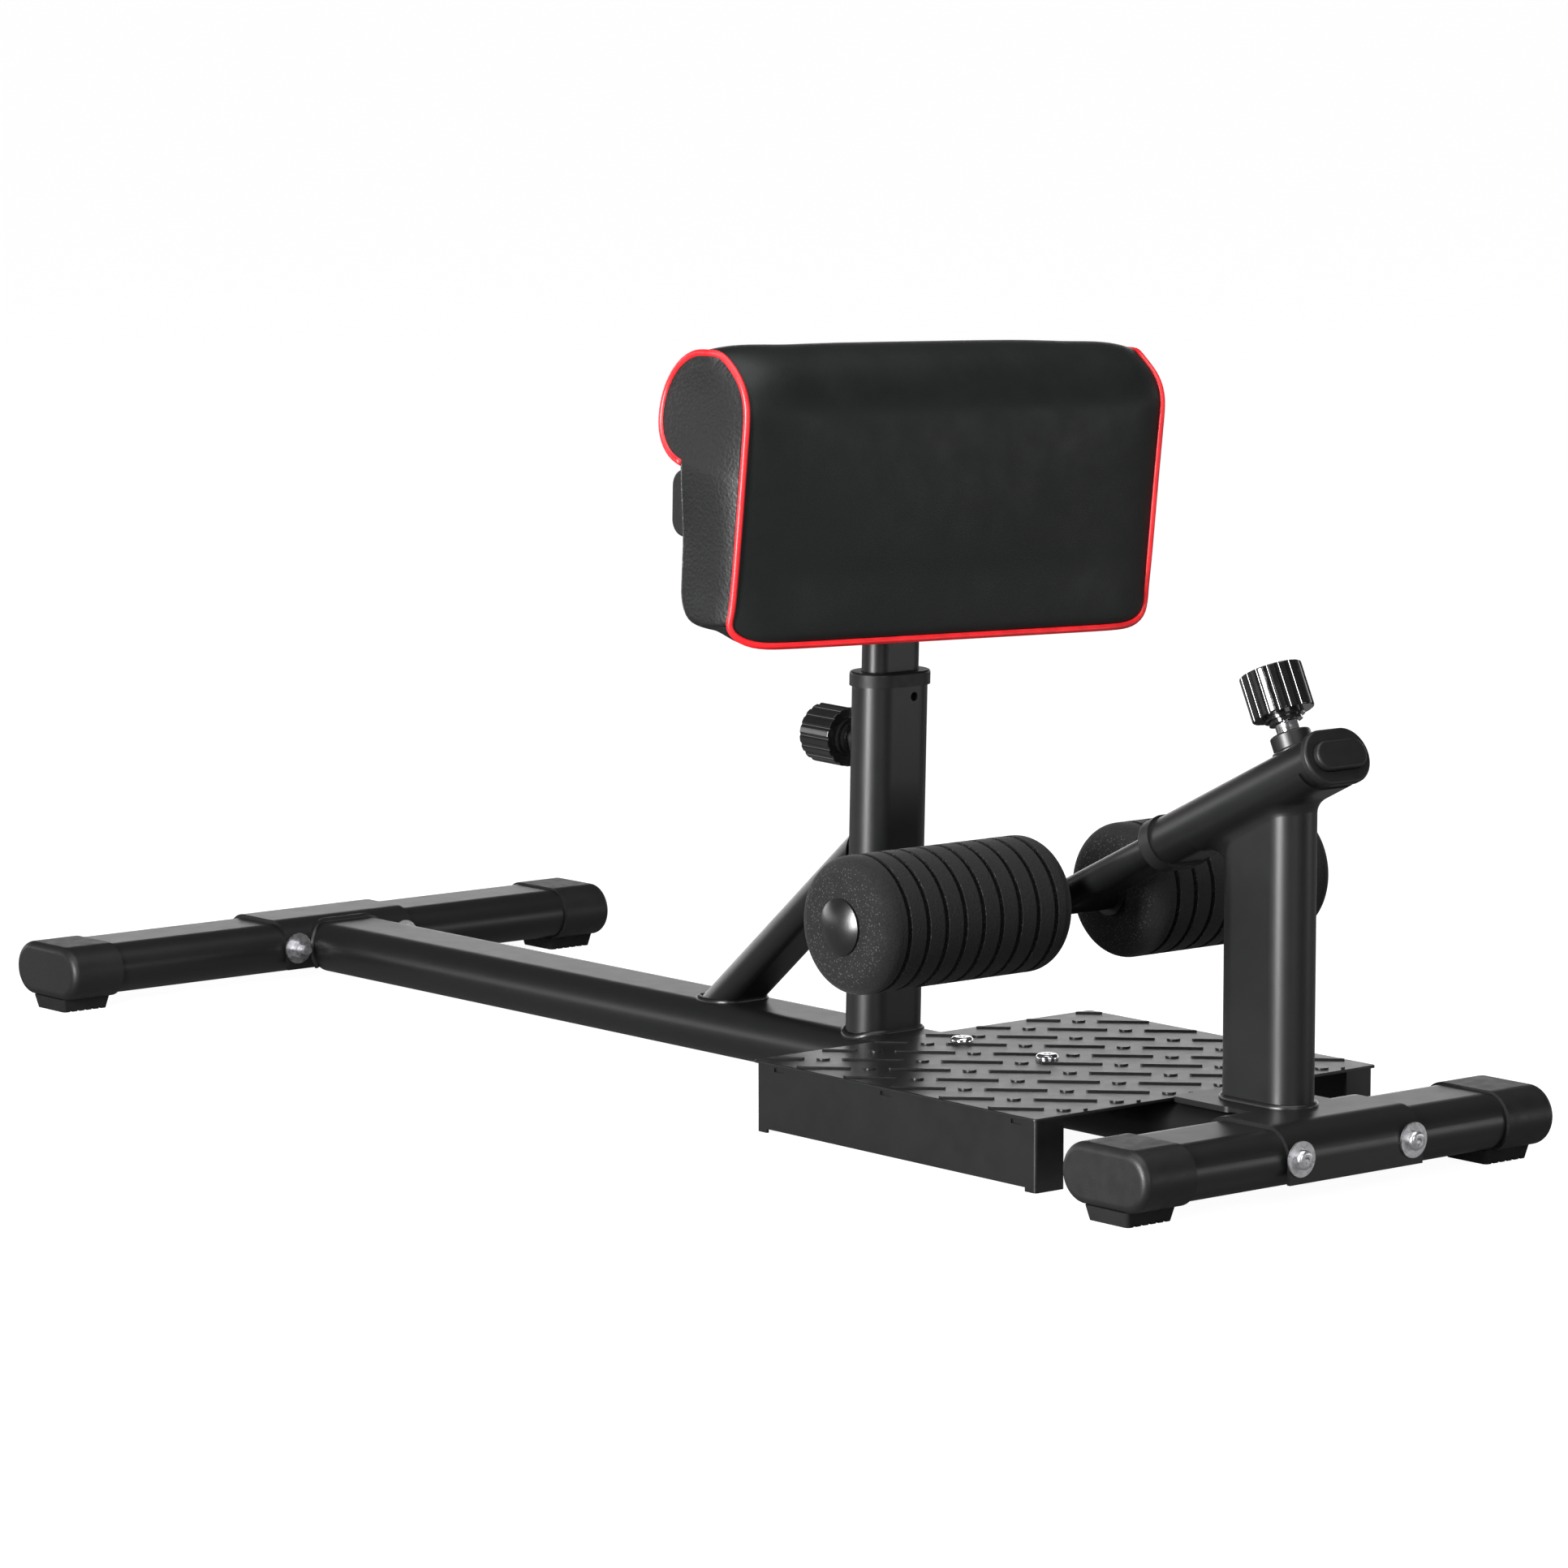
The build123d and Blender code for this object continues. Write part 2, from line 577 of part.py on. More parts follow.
def make_inner_post_guide():
    """Plastic shoe in the lower end of the inner post that slides in the outer post."""
    inside = (POST_OVAL[0] - 2 * POST_WALL - 2 * SLIDE_GAP, POST_OVAL[1] - 2 * POST_WALL - 2 * SLIDE_GAP)
    plug = (STOCK_OVAL[0] - 2 * STOCK_WALL, STOCK_OVAL[1] - 2 * STOCK_WALL)
    with BuildPart() as guide:
        with BuildSketch(SEAT.offset(INNER_POST_BOTTOM - GUIDE_RIM)):
            SlotOverall(*inside)
        extrude(amount=GUIDE_RIM)
        with BuildSketch(SEAT.offset(INNER_POST_BOTTOM)):
            SlotOverall(*plug)
        extrude(amount=GUIDE_LENGTH)
    return guide.part


def bracket_plane(x):
    """Plane facing +X on the axis of the pad bracket, long side of its oval along the post."""
    return Plane(origin=SEAT.from_local_coords((x, 0, BRACKET_S)), x_dir=SEAT.z_dir, z_dir=(1, 0, 0))


def pad_bolt_places():
    return Locations((PAD_BOLT_X, 0), (-PAD_BOLT_X, 0))


def make_pad_bracket():
    """Cross tube on top of the inner post; the pad is bolted to its front face."""
    with BuildPart() as bracket:
        add(oval_tube(bracket_plane(-BRACKET_HALF), STOCK_OVAL, STOCK_WALL, 2 * BRACKET_HALF))
        with BuildSketch(pin_plane(SEAT, BRACKET_S)):
            with pad_bolt_places():
                Circle(BOLT_HOLE_R)
        extrude(amount=STOCK_OVAL[1], both=True, mode=Mode.SUBTRACT)
    return bracket.part


def make_bracket_cap(side):
    with BuildPart() as cap:
        with BuildSketch(bracket_plane(BRACKET_HALF)):
            SlotOverall(*STOCK_OVAL)
        extrude(amount=BRACKET_CAP)
        fillet(cap.faces().sort_by(Axis.X)[-1].edges(), RIM_ROUND)
        with BuildSketch(bracket_plane(BRACKET_HALF)):
            SlotOverall(STOCK_OVAL[0] - 2 * STOCK_WALL, STOCK_OVAL[1] - 2 * STOCK_WALL)
        extrude(amount=-PLUG_LENGTH)
        if side < 0:
            mirror(about=Plane.YZ, mode=Mode.REPLACE)
    return cap.part


def board_block():
    """The plywood board's own shape, also cut out of the cushion's back."""
    with BuildPart() as block:
        with BuildSketch(SEAT_SIDE.offset(-BOARD_HALF)):
            with Locations((PAD_BACK - BOARD_THICKNESS / 2, sum(BOARD_S) / 2)):
                Rectangle(BOARD_THICKNESS, BOARD_S[1] - BOARD_S[0])
        extrude(amount=2 * BOARD_HALF)
    return block.part


def make_pad_board():
    with BuildPart() as board:
        add(board_block())
        with BuildSketch(pin_plane(SEAT, BRACKET_S)):
            with pad_bolt_places():
                Circle(BOLT_HOLE_R)
        extrude(amount=-(STOCK_OVAL[1] / 2 + BOARD_THICKNESS - 2), mode=Mode.SUBTRACT)
    return board.part


def make_pad_cushion():
    """Calf pad: a slab that swells into a rolled top, with a pocket for its board."""
    with BuildPart() as cushion:
        with BuildSketch(SEAT_SIDE.offset(-PAD_HALF)):
            with BuildLine():
                Line((PAD_BACK, NOTCH_S), (PAD_BACK, PAD_BACK_BOTTOM))
                ThreePointArc((PAD_BACK, PAD_BACK_BOTTOM), PAD_HEEL_MID, PAD_HEEL)
                Line(PAD_HEEL, PAD_TOE)
                ThreePointArc(PAD_TOE, PAD_TOE_MID, PAD_FRONT_BOTTOM)
                roll_front = (ROLL_CENTRE[0] - ROLL_R, ROLL_CENTRE[1])
                roll_top = (ROLL_CENTRE[0], ROLL_CENTRE[1] + ROLL_R)
                roll_back = (ROLL_CENTRE[0] + ROLL_R, ROLL_CENTRE[1])
                Line(PAD_FRONT_BOTTOM, roll_front)
                ThreePointArc(roll_front, roll_top, roll_back)
                ThreePointArc(roll_back, ROLL_UNDER, (PAD_BACK, NOTCH_S))
            make_face()
        extrude(amount=2 * PAD_HALF)
        add(board_block(), mode=Mode.SUBTRACT)
    return cushion.part


def make_pad_bolts():
    """Two hex bolts from behind, through the bracket and into the board."""
    with BuildPart() as bolts:
        with BuildSketch(pin_plane(SEAT, BRACKET_S).offset(STOCK_OVAL[1] / 2)):
            with pad_bolt_places():
                RegularPolygon(PAD_BOLT_HEAD_R, 6)
        extrude(amount=PAD_BOLT_HEAD)
        with BuildSketch(pin_plane(SEAT, BRACKET_S).offset(STOCK_OVAL[1] / 2)):
            with pad_bolt_places():
                Circle(BOLT_R)
        extrude(amount=-(STOCK_OVAL[1] + BOARD_THICKNESS - 3))
    return bolts.part


# ---- front post and sleeve --------------------------------------------------------------
def make_front_post():
    """Upright tube that flares out to the cradle and is coped to it."""
    under_arm = Plane(origin=ARM.origin, x_dir=(1, 0, 0), z_dir=ARM.y_dir)
    upright = Plane(origin=(0, FRONT_POST_Y, SADDLE_TOP), x_dir=(0, 1, 0), z_dir=(0, 0, 1))
    with BuildPart() as post:
        with BuildSketch(upright):
            SlotOverall(*FRONT_POST_OVAL)
        extrude(amount=2 * ROLLER_Z)
        split(bisect_by=under_arm, keep=Keep.BOTTOM)
        with BuildSketch(ARM.offset(CRADLE_FROM)):
            SlotOverall(*CRADLE_OVAL)
        extrude(amount=CRADLE_TO - CRADLE_FROM)
        fillet(post.edges(Select.NEW), POST_FLARE)
        with BuildSketch(ARM):
            SlotOverall(*CRADLE_OVAL)
        extrude(amount=2 * ARM_TOP, mode=Mode.SUBTRACT)
        with BuildSketch(upright):
            SlotOverall(FRONT_POST_OVAL[0] - 2 * FRONT_POST_WALL, FRONT_POST_OVAL[1] - 2 * FRONT_POST_WALL)
        extrude(amount=2 * ROLLER_Z, mode=Mode.SUBTRACT)
    return post.part


def make_sleeve_cradle():
    """Half shell welded under the sleeve, between it and the front post."""
    with BuildPart() as cradle:
        with BuildSketch(ARM.offset(CRADLE_FROM)):
            SlotOverall(*CRADLE_OVAL)
            SlotOverall(*SLEEVE_OVAL, mode=Mode.SUBTRACT)
            with Locations((0, CRADLE_OVAL[1] / 2)):
                Rectangle(2 * CRADLE_OVAL[0], CRADLE_OVAL[1] - 2 * CRADLE_LIP, mode=Mode.SUBTRACT)
        extrude(amount=CRADLE_TO - CRADLE_FROM)
    return cradle.part


def make_roller_sleeve():
    with BuildPart() as sleeve:
        add(oval_tube(ARM.offset(SLEEVE_FROM), SLEEVE_OVAL, SLEEVE_WALL, SLEEVE_TO - SLEEVE_FROM))
        with BuildSketch(pin_plane(ARM, ARM_PIN_T)):
            Circle(PIN_HOLE_R)
        extrude(amount=SLEEVE_OVAL[1], mode=Mode.SUBTRACT)
    return sleeve.part


def make_sleeve_bush(mouth, way, rim_oval, rim):
    """Plastic bush in one mouth of the sleeve; way is +1 at the upper mouth."""
    liner = (SLEEVE_OVAL[0] - 2 * SLEEVE_WALL, SLEEVE_OVAL[1] - 2 * SLEEVE_WALL)
    with BuildPart() as bush:
        with BuildSketch(ARM.offset(mouth)):
            SlotOverall(*rim_oval)
        extrude(amount=way * rim)
        outer_face = bush.faces().sort_by(Axis(ARM.origin, ARM.z_dir))[-1 if way > 0 else 0]
        fillet(outer_face.edges(), RIM_ROUND)
        with BuildSketch(ARM.offset(mouth)):
            SlotOverall(*liner)
        extrude(amount=-way * BUSH_LINER)
        with BuildSketch(ARM.offset(mouth - way * (BUSH_LINER + 1))):
            SlotOverall(ARM_OVAL[0] + 2 * SLIDE_GAP, ARM_OVAL[1] + 2 * SLIDE_GAP)
        extrude(amount=way * (BUSH_LINER + rim + 2), mode=Mode.SUBTRACT)
        if way > 0:
            with BuildSketch(pin_plane(ARM, ARM_PIN_T)):
                Circle(PIN_HOLE_R)
            extrude(amount=SLEEVE_OVAL[1], mode=Mode.SUBTRACT)
    return bush.part


# ---- roller arm -------------------------------------------------------------------------
def make_inner_arm_tube():
    """Arm that slides in the sleeve, coped to the roller bar at its lower end."""
    with BuildPart() as arm:
        add(oval_tube(ARM, ARM_OVAL, ARM_WALL, ARM_TOP))
        with Locations(Location((0, ROLLER_Y, ROLLER_Z), (0, 90, 0))):
            Cylinder(BAR_R, 2 * ARM_OVAL[0], mode=Mode.SUBTRACT)
        for step in range(ARM_HOLES):
            with BuildSketch(pin_plane(ARM, ARM_PIN_T - step * HOLE_PITCH)):
                Circle(PIN_HOLE_R)
            extrude(amount=ARM_OVAL[1], mode=Mode.SUBTRACT)
    return arm.part


def make_arm_end_plug():
    with BuildPart() as plug:
        with BuildSketch(ARM.offset(ARM_TOP)):
            SlotOverall(*ARM_OVAL)
        extrude(amount=ARM_PLUG)
        fillet(plug.faces().sort_by(Axis(ARM.origin, ARM.z_dir))[-1].edges(), ARM_PLUG_ROUND)
        with BuildSketch(ARM.offset(ARM_TOP)):
            SlotOverall(ARM_OVAL[0] - 2 * ARM_WALL, ARM_OVAL[1] - 2 * ARM_WALL)
        extrude(amount=-PLUG_LENGTH)
    return plug.part


def roller_axis_plane(x):
    return across(x, ROLLER_Y, ROLLER_Z)


def make_roller_bar():
    with BuildPart() as bar:
        with BuildSketch(roller_axis_plane(-BAR_HALF)):
            Circle(BAR_R)
            Circle(BAR_R - BAR_WALL, mode=Mode.SUBTRACT)
        extrude(amount=2 * BAR_HALF)
    return bar.part


def make_bar_washers():
    """Two collars pressed on the bar that keep the rollers off the arm."""
    with BuildPart() as washers:
        for x in (ROLLER_INNER - WASHER_END_PLAY - WASHER_ON_BAR, -ROLLER_INNER + WASHER_END_PLAY):
            with BuildSketch(roller_axis_plane(x)):
                Circle(WASHER_ON_BAR_R)
                Circle(BAR_R, mode=Mode.SUBTRACT)
            extrude(amount=WASHER_ON_BAR)
    return washers.part


def make_roller_cap(side):
    """Domed plug in the end of the roller bar."""
    sphere_r = (DOME_R ** 2 + DOME_RISE ** 2) / (2 * DOME_RISE)
    rim = BAR_HALF + DOME_RIM
    with BuildPart() as cap:
        with BuildSketch(Plane.XY):
            with BuildLine():
                Polyline(
                    (BAR_HALF - DOME_STEM, 0),
                    (BAR_HALF - DOME_STEM, DOME_STEM_R),
                    (BAR_HALF, DOME_STEM_R),
                    (BAR_HALF + 0.1, DOME_R),
                    (rim, DOME_R),
                )
                RadiusArc((rim, DOME_R), (rim + DOME_RISE, 0), sphere_r)
                Line((rim + DOME_RISE, 0), (BAR_HALF - DOME_STEM, 0))
            make_face()
        revolve(axis=Axis.X)
        if side < 0:
            mirror(about=Plane.YZ, mode=Mode.REPLACE)
    return cap.part.moved(Location((0, ROLLER_Y, ROLLER_Z)))


def make_roller_core(side):
    start = ROLLER_INNER if side > 0 else -ROLLER_INNER - ROLLER_LENGTH
    with BuildPart() as core:
        with BuildSketch(roller_axis_plane(start)):
            Circle(CORE_R)
            Circle(BAR_R + CORE_GAP, mode=Mode.SUBTRACT)
        extrude(amount=ROLLER_LENGTH)
    return core.part


def make_roller_foam(side):
    """Foam roller with rounded ends and evenly spaced grooves round it."""
    start = ROLLER_INNER if side > 0 else -ROLLER_INNER - ROLLER_LENGTH
    middle = start + ROLLER_LENGTH / 2
    with BuildPart() as foam:
        with BuildSketch(roller_axis_plane(start)):
            Circle(FOAM_R)
        extrude(amount=ROLLER_LENGTH)
        fillet(foam.edges().filter_by(GeomType.CIRCLE), FOAM_ROUND)
        for step in range(FOAM_GROOVES):
            x = middle + (step - (FOAM_GROOVES - 1) / 2) * GROOVE_PITCH
            with BuildSketch(roller_axis_plane(x - GROOVE_WIDTH / 2)):
                Circle(FOAM_R + 1)
                Circle(FOAM_R - GROOVE_DEPTH, mode=Mode.SUBTRACT)
            extrude(amount=GROOVE_WIDTH, mode=Mode.SUBTRACT)
        with BuildSketch(roller_axis_plane(start)):
            Circle(CORE_R)
        extrude(amount=ROLLER_LENGTH, mode=Mode.SUBTRACT)
    return foam.part


# ---- pull pins --------------------------------------------------------------------------
def make_pin_boss(plane, wall):
    """Steel boss welded round the pin hole."""
    with BuildPart() as boss:
        with BuildSketch(plane.offset(wall)):
            Circle(BOSS_R)
        extrude(amount=BOSS_TOP - wall)
        fillet(boss.faces().sort_by(Axis(plane.origin, plane.z_dir))[-1].edges(), BOSS_ROUND)
        with BuildSketch(plane.offset(wall)):
            Circle(BARREL_R + THREAD_GAP)
        extrude(amount=BOSS_TOP, mode=Mode.SUBTRACT)
    return boss.part


def make_pin_barrel(plane):
    """Plated barrel screwed into the boss; it guides the pin and holds the spring."""
    with BuildPart() as barrel:
        with BuildSketch(plane.offset(BARREL_FROM)):
            Circle(BARREL_R)
            Circle(BARREL_BORE_R, mode=Mode.SUBTRACT)
        extrude(amount=BARREL_TO - BARREL_FROM - BARREL_END)
        with BuildSketch(plane.offset(BARREL_TO - BARREL_END)):
            Circle(BARREL_R)
            Circle(PIN_R + PIN_GAP, mode=Mode.SUBTRACT)
        extrude(amount=BARREL_END)
    return barrel.part


def make_pin(plane, tip):
    """Pull pin with the flange that its spring pushes on."""
    with BuildPart() as pin:
        with BuildSketch(plane.offset(tip)):
            Circle(PIN_R)
        extrude(amount=PIN_END - tip)
        chamfer(pin.faces().sort_by(Axis(plane.origin, plane.z_dir))[0].edges(), PIN_TIP)
        with BuildSketch(plane.offset(PIN_FLANGE[0])):
            Circle(PIN_FLANGE_R)
        extrude(amount=PIN_FLANGE[1] - PIN_FLANGE[0])
    return pin.part


def make_pin_spring(plane):
    """Compression spring between the pin's flange and the end of the barrel."""
    low = PIN_FLANGE[1] + SPRING_WIRE_R + THREAD_GAP
    high = BARREL_TO - BARREL_END - SPRING_WIRE_R - THREAD_GAP
    with BuildPart() as spring:
        with BuildLine() as coil:
            Helix(pitch=(high - low) / SPRING_TURNS, height=high - low, radius=SPRING_R)
        with BuildSketch(Plane(origin=coil.line @ 0, z_dir=coil.line % 0)):
            Circle(SPRING_WIRE_R)
        sweep(path=coil.line, is_frenet=True)
    return spring.part.moved(plane.offset(low).location)


def make_knob(plane):
    """Fluted knob: a round body with grooves down its side and a stepped hub below it."""
    with BuildPart() as knob:
        with BuildSketch(plane.offset(KNOB_FROM)):
            Circle(KNOB_R)
        extrude(amount=KNOB_TO - KNOB_FROM)
        fillet(knob.edges().filter_by(GeomType.CIRCLE), KNOB_ROUND)
        with BuildSketch(plane.offset(KNOB_FROM)):
            with PolarLocations(KNOB_R + KNOB_FLUTE_R * KNOB_FLUTE_SHARE, KNOB_FLUTES):
                Circle(KNOB_FLUTE_R)
        extrude(amount=KNOB_TO - KNOB_FROM, mode=Mode.SUBTRACT)
        with BuildSketch(plane.offset(KNOB_TO)):
            Circle(KNOB_DISH_R)
        extrude(amount=-KNOB_DISH, mode=Mode.SUBTRACT)
        with BuildSketch(plane.offset(KNOB_FROM)):
            Circle(KNOB_HUB_R)
        extrude(amount=-(KNOB_FROM - KNOB_HUB_FROM) / 2)
        with BuildSketch(plane.offset(KNOB_FROM)):
            Circle(KNOB_HUB_R - KNOB_STEP)
        extrude(amount=-(KNOB_FROM - KNOB_HUB_FROM))
        with BuildSketch(plane.offset(KNOB_HUB_FROM)):
            Circle(PIN_R + KNOB_BORE_GAP)
        extrude(amount=PIN_END - KNOB_HUB_FROM + KNOB_END_GAP, mode=Mode.SUBTRACT)
    return knob.part


def save_pull_pin(name, plane, wall, tip):
    save(make_pin_boss(plane, wall), f"{name}_pin_boss")
    save(make_pin_barrel(plane), f"{name}_pin_barrel")
    save(make_pin(plane, tip), f"{name}_pull_pin")
    save(make_pin_spring(plane), f"{name}_pin_spring")
    save(make_knob(plane), f"{name}_knob")


def main():
    os.makedirs("parts", exist_ok=True)
    save(make_main_tube(), "main_tube")
    for end, y, half_length in (("front", -HALF_TRACK, FRONT_HALF), ("rear", HALF_TRACK, REAR_HALF)):
        save(make_saddle(y, end == "front"), f"{end}_saddle")
        save(make_stabiliser(y, half_length), f"{end}_stabiliser_tube")
        save(make_bolts(y), f"{end}_bolts")
        save(make_washers(y), f"{end}_washers")
        save(make_nuts(y), f"{end}_nuts")
        for hand, side in (("left", -1), ("right", 1)):
            save(make_end_cap(side, y, half_length), f"{end}_{hand}_cap")
            save(make_foot(side, y, half_length), f"{end}_{hand}_foot")
    save(make_tread_plate(), "tread_plate")
    save(make_platform_screws(), "platform_screws")
    save(make_seat_post_tube(), "seat_post_tube")
    save(make_seat_post_brace(), "seat_post_brace")
    save(make_seat_post_collar(), "seat_post_collar")
    save(make_inner_seat_post(), "inner_seat_post")
    save(make_inner_post_guide(), "inner_post_guide")
    save(make_pad_bracket(), "pad_bracket")
    save(make_pad_board(), "pad_board")
    save(make_pad_cushion(), "pad_cushion")
    save(make_pad_bolts(), "pad_bolts")
    save(make_front_post(), "front_post")
    save(make_sleeve_cradle(), "sleeve_cradle")
    save(make_roller_sleeve(), "roller_sleeve")
    save(make_sleeve_bush(SLEEVE_FROM, -1, LOWER_BUSH_OVAL, LOWER_BUSH_RIM), "sleeve_lower_bush")
    save(make_sleeve_bush(SLEEVE_TO, 1, UPPER_BUSH_OVAL, UPPER_BUSH_RIM), "sleeve_upper_bush")
    save(make_inner_arm_tube(), "inner_arm_tube")
    save(make_arm_end_plug(), "arm_end_plug")
    save(make_roller_bar(), "roller_bar")
    save(make_bar_washers(), "bar_washers")
    for hand, side in (("left", -1), ("right", 1)):
        save(make_platform_leg(side), f"{hand}_platform_leg")
        save(make_bracket_cap(side), f"{hand}_bracket_cap")
        save(make_roller_cap(side), f"{hand}_roller_cap")
        save(make_roller_core(side), f"{hand}_roller_core")
        save(make_roller_foam(side), f"{hand}_roller_foam")
    save_pull_pin("seat", pin_plane(SEAT, SEAT_PIN_S), POST_OVAL[1] / 2, STOCK_OVAL[1] / 2 + PIN_GAP)
    save_pull_pin("roller", pin_plane(ARM, ARM_PIN_T), SLEEVE_OVAL[1] / 2, ARM_OVAL[1] / 2 + PIN_GAP)


main()
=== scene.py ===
"""Looks of a sissy squat bench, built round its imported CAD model.

Everything is in metres in the frame of that model: X across the bench, +Y from the front
stabiliser to the rear one, floor at z = 0.
"""

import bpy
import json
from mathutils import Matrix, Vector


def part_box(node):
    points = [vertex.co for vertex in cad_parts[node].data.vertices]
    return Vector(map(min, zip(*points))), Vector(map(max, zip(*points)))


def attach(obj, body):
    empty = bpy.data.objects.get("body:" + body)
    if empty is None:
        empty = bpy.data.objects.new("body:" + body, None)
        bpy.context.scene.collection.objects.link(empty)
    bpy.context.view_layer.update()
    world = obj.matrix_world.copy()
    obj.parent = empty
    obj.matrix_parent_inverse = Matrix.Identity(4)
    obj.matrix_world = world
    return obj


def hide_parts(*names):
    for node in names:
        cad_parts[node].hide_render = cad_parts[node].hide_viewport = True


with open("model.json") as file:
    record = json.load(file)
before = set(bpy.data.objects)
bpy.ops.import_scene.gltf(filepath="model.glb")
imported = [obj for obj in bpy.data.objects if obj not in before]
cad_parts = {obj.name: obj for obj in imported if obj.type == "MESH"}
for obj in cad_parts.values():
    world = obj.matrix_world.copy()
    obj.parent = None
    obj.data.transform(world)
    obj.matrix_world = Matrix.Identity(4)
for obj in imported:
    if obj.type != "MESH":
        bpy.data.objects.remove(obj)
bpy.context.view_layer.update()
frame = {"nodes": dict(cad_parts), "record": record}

import json
import math

import bpy
from mathutils import Matrix, Vector
from mathutils.bvhtree import BVHTree

NODES = frame["nodes"]
RECORD = frame["record"]
JOINTS = {joint["name"]: joint for joint in RECORD["behaviour"]["joints"]}
MM = 0.001
X_WAY = Vector((1, 0, 0))

# ---- camera and light -------------------------------------------------------------------
CAMERA_AT = (-3.0372, -3.6533, 0.8636)
CAMERA_AZIMUTH = -39.856      # degrees, 0 looks along +Y
CAMERA_ELEVATION = 7.704
CAMERA_LENS = 145.48
CAMERA_SENSOR = 36.0
BRIGHT_SIDE = (0.35, 0.93, 0.1)     # the way to the brightest part of the surroundings
HORIZON_TOP = (0.12, 0.25)    # the bright band fades out between these upward components
WORLD_DIM = 0.10
WORLD_BRIGHT = 3.2
WORLD_FADE = (-0.2, 0.85)     # it brightens between these cosines of the angle to that side
FLOOR_REACH = 90.0
FLOOR_SEEN = 0.3              # albedo and glow of the floor as the camera sees it
FLOOR_LIFT = 0.95
FLOOR_BOUNCE = 0.14           # and as it lights the bench
FLOOR_GLOW = 0.075

# ---- sizes of the cushion ---------------------------------------------------------------
PROFILE_POINTS = 120          # vertices round one section of the cushion
MIDDLE_SECTIONS = 50
CORNER_SECTIONS = 8           # sections in each rounded end
PANEL_COLUMNS = 14            # vertices across an end panel
CORNER_R = 30 * MM            # rounding of the lower corners, seen from the front
CORNER_RISE = 15 * MM         # the underside comes up this far there
LOW_REACH = 65 * MM           # and blends into the front over this height
CROWN_RUN = 75 * MM           # the front and the top start to curve away this far from the ends
CROWN_POWER = 2.6
FRONT_CROWN = 8 * MM
TOP_CROWN = 3 * MM
TOP_REACH = 50 * MM           # height over which the top blends into the front
BACK_CROWN = 1 * MM           # the same at the back of the roll
TOP_RISE = 5 * MM             # the roll stands this much higher in its middle
RIGHT_DROOP = 4 * MM          # stuffing is short at the right end, whose top sags
RIGHT_DRAW = 4 * MM           # and whose end is drawn in
EDGE_ROLL = 2 * MM            # extra rounding right beside the piping
PANEL_BULGE = 9 * MM          # an end panel swells this much, and its rear edge flares out
BULGE_SPAN = 55 * MM          # where it is narrower than this, it swells less
NOTCH_REACH = 60 * MM         # the flare is strongest this near to the notch
BACK_RECESS = 1.2 * MM        # the vinyl lies this far below the face of the board
SHRINK = 4.5 * MM             # the cushion starts this much smaller and is then inflated
SWELL = 5.5 * MM
CLOTH_PRESSURE = 4.0
CLOTH_STIFFNESS = 22.0
CLOTH_BENDING = 8.0
CLOTH_STEPS = 20
EVEN_PASSES = 12
PIPING_R = 2.5 * MM
PIPING_PASSES = 4
TILT = 1.6                    # degrees that the cushion sits askew on its bracket

# ---- sizes of the welds -----------------------------------------------------------------
TUBE_SIDES = 14               # flats round a piping or a bead
POST_WELD_R = 3.2 * MM
FRAME_WELD_R = 3.0 * MM
BRACE_WELD_R = 2.8 * MM
BRACKET_WELD_R = 2.4 * MM
BOSS_WELD_R = 1.8 * MM
RIPPLE = 0.03                 # share by which a bead's radius varies


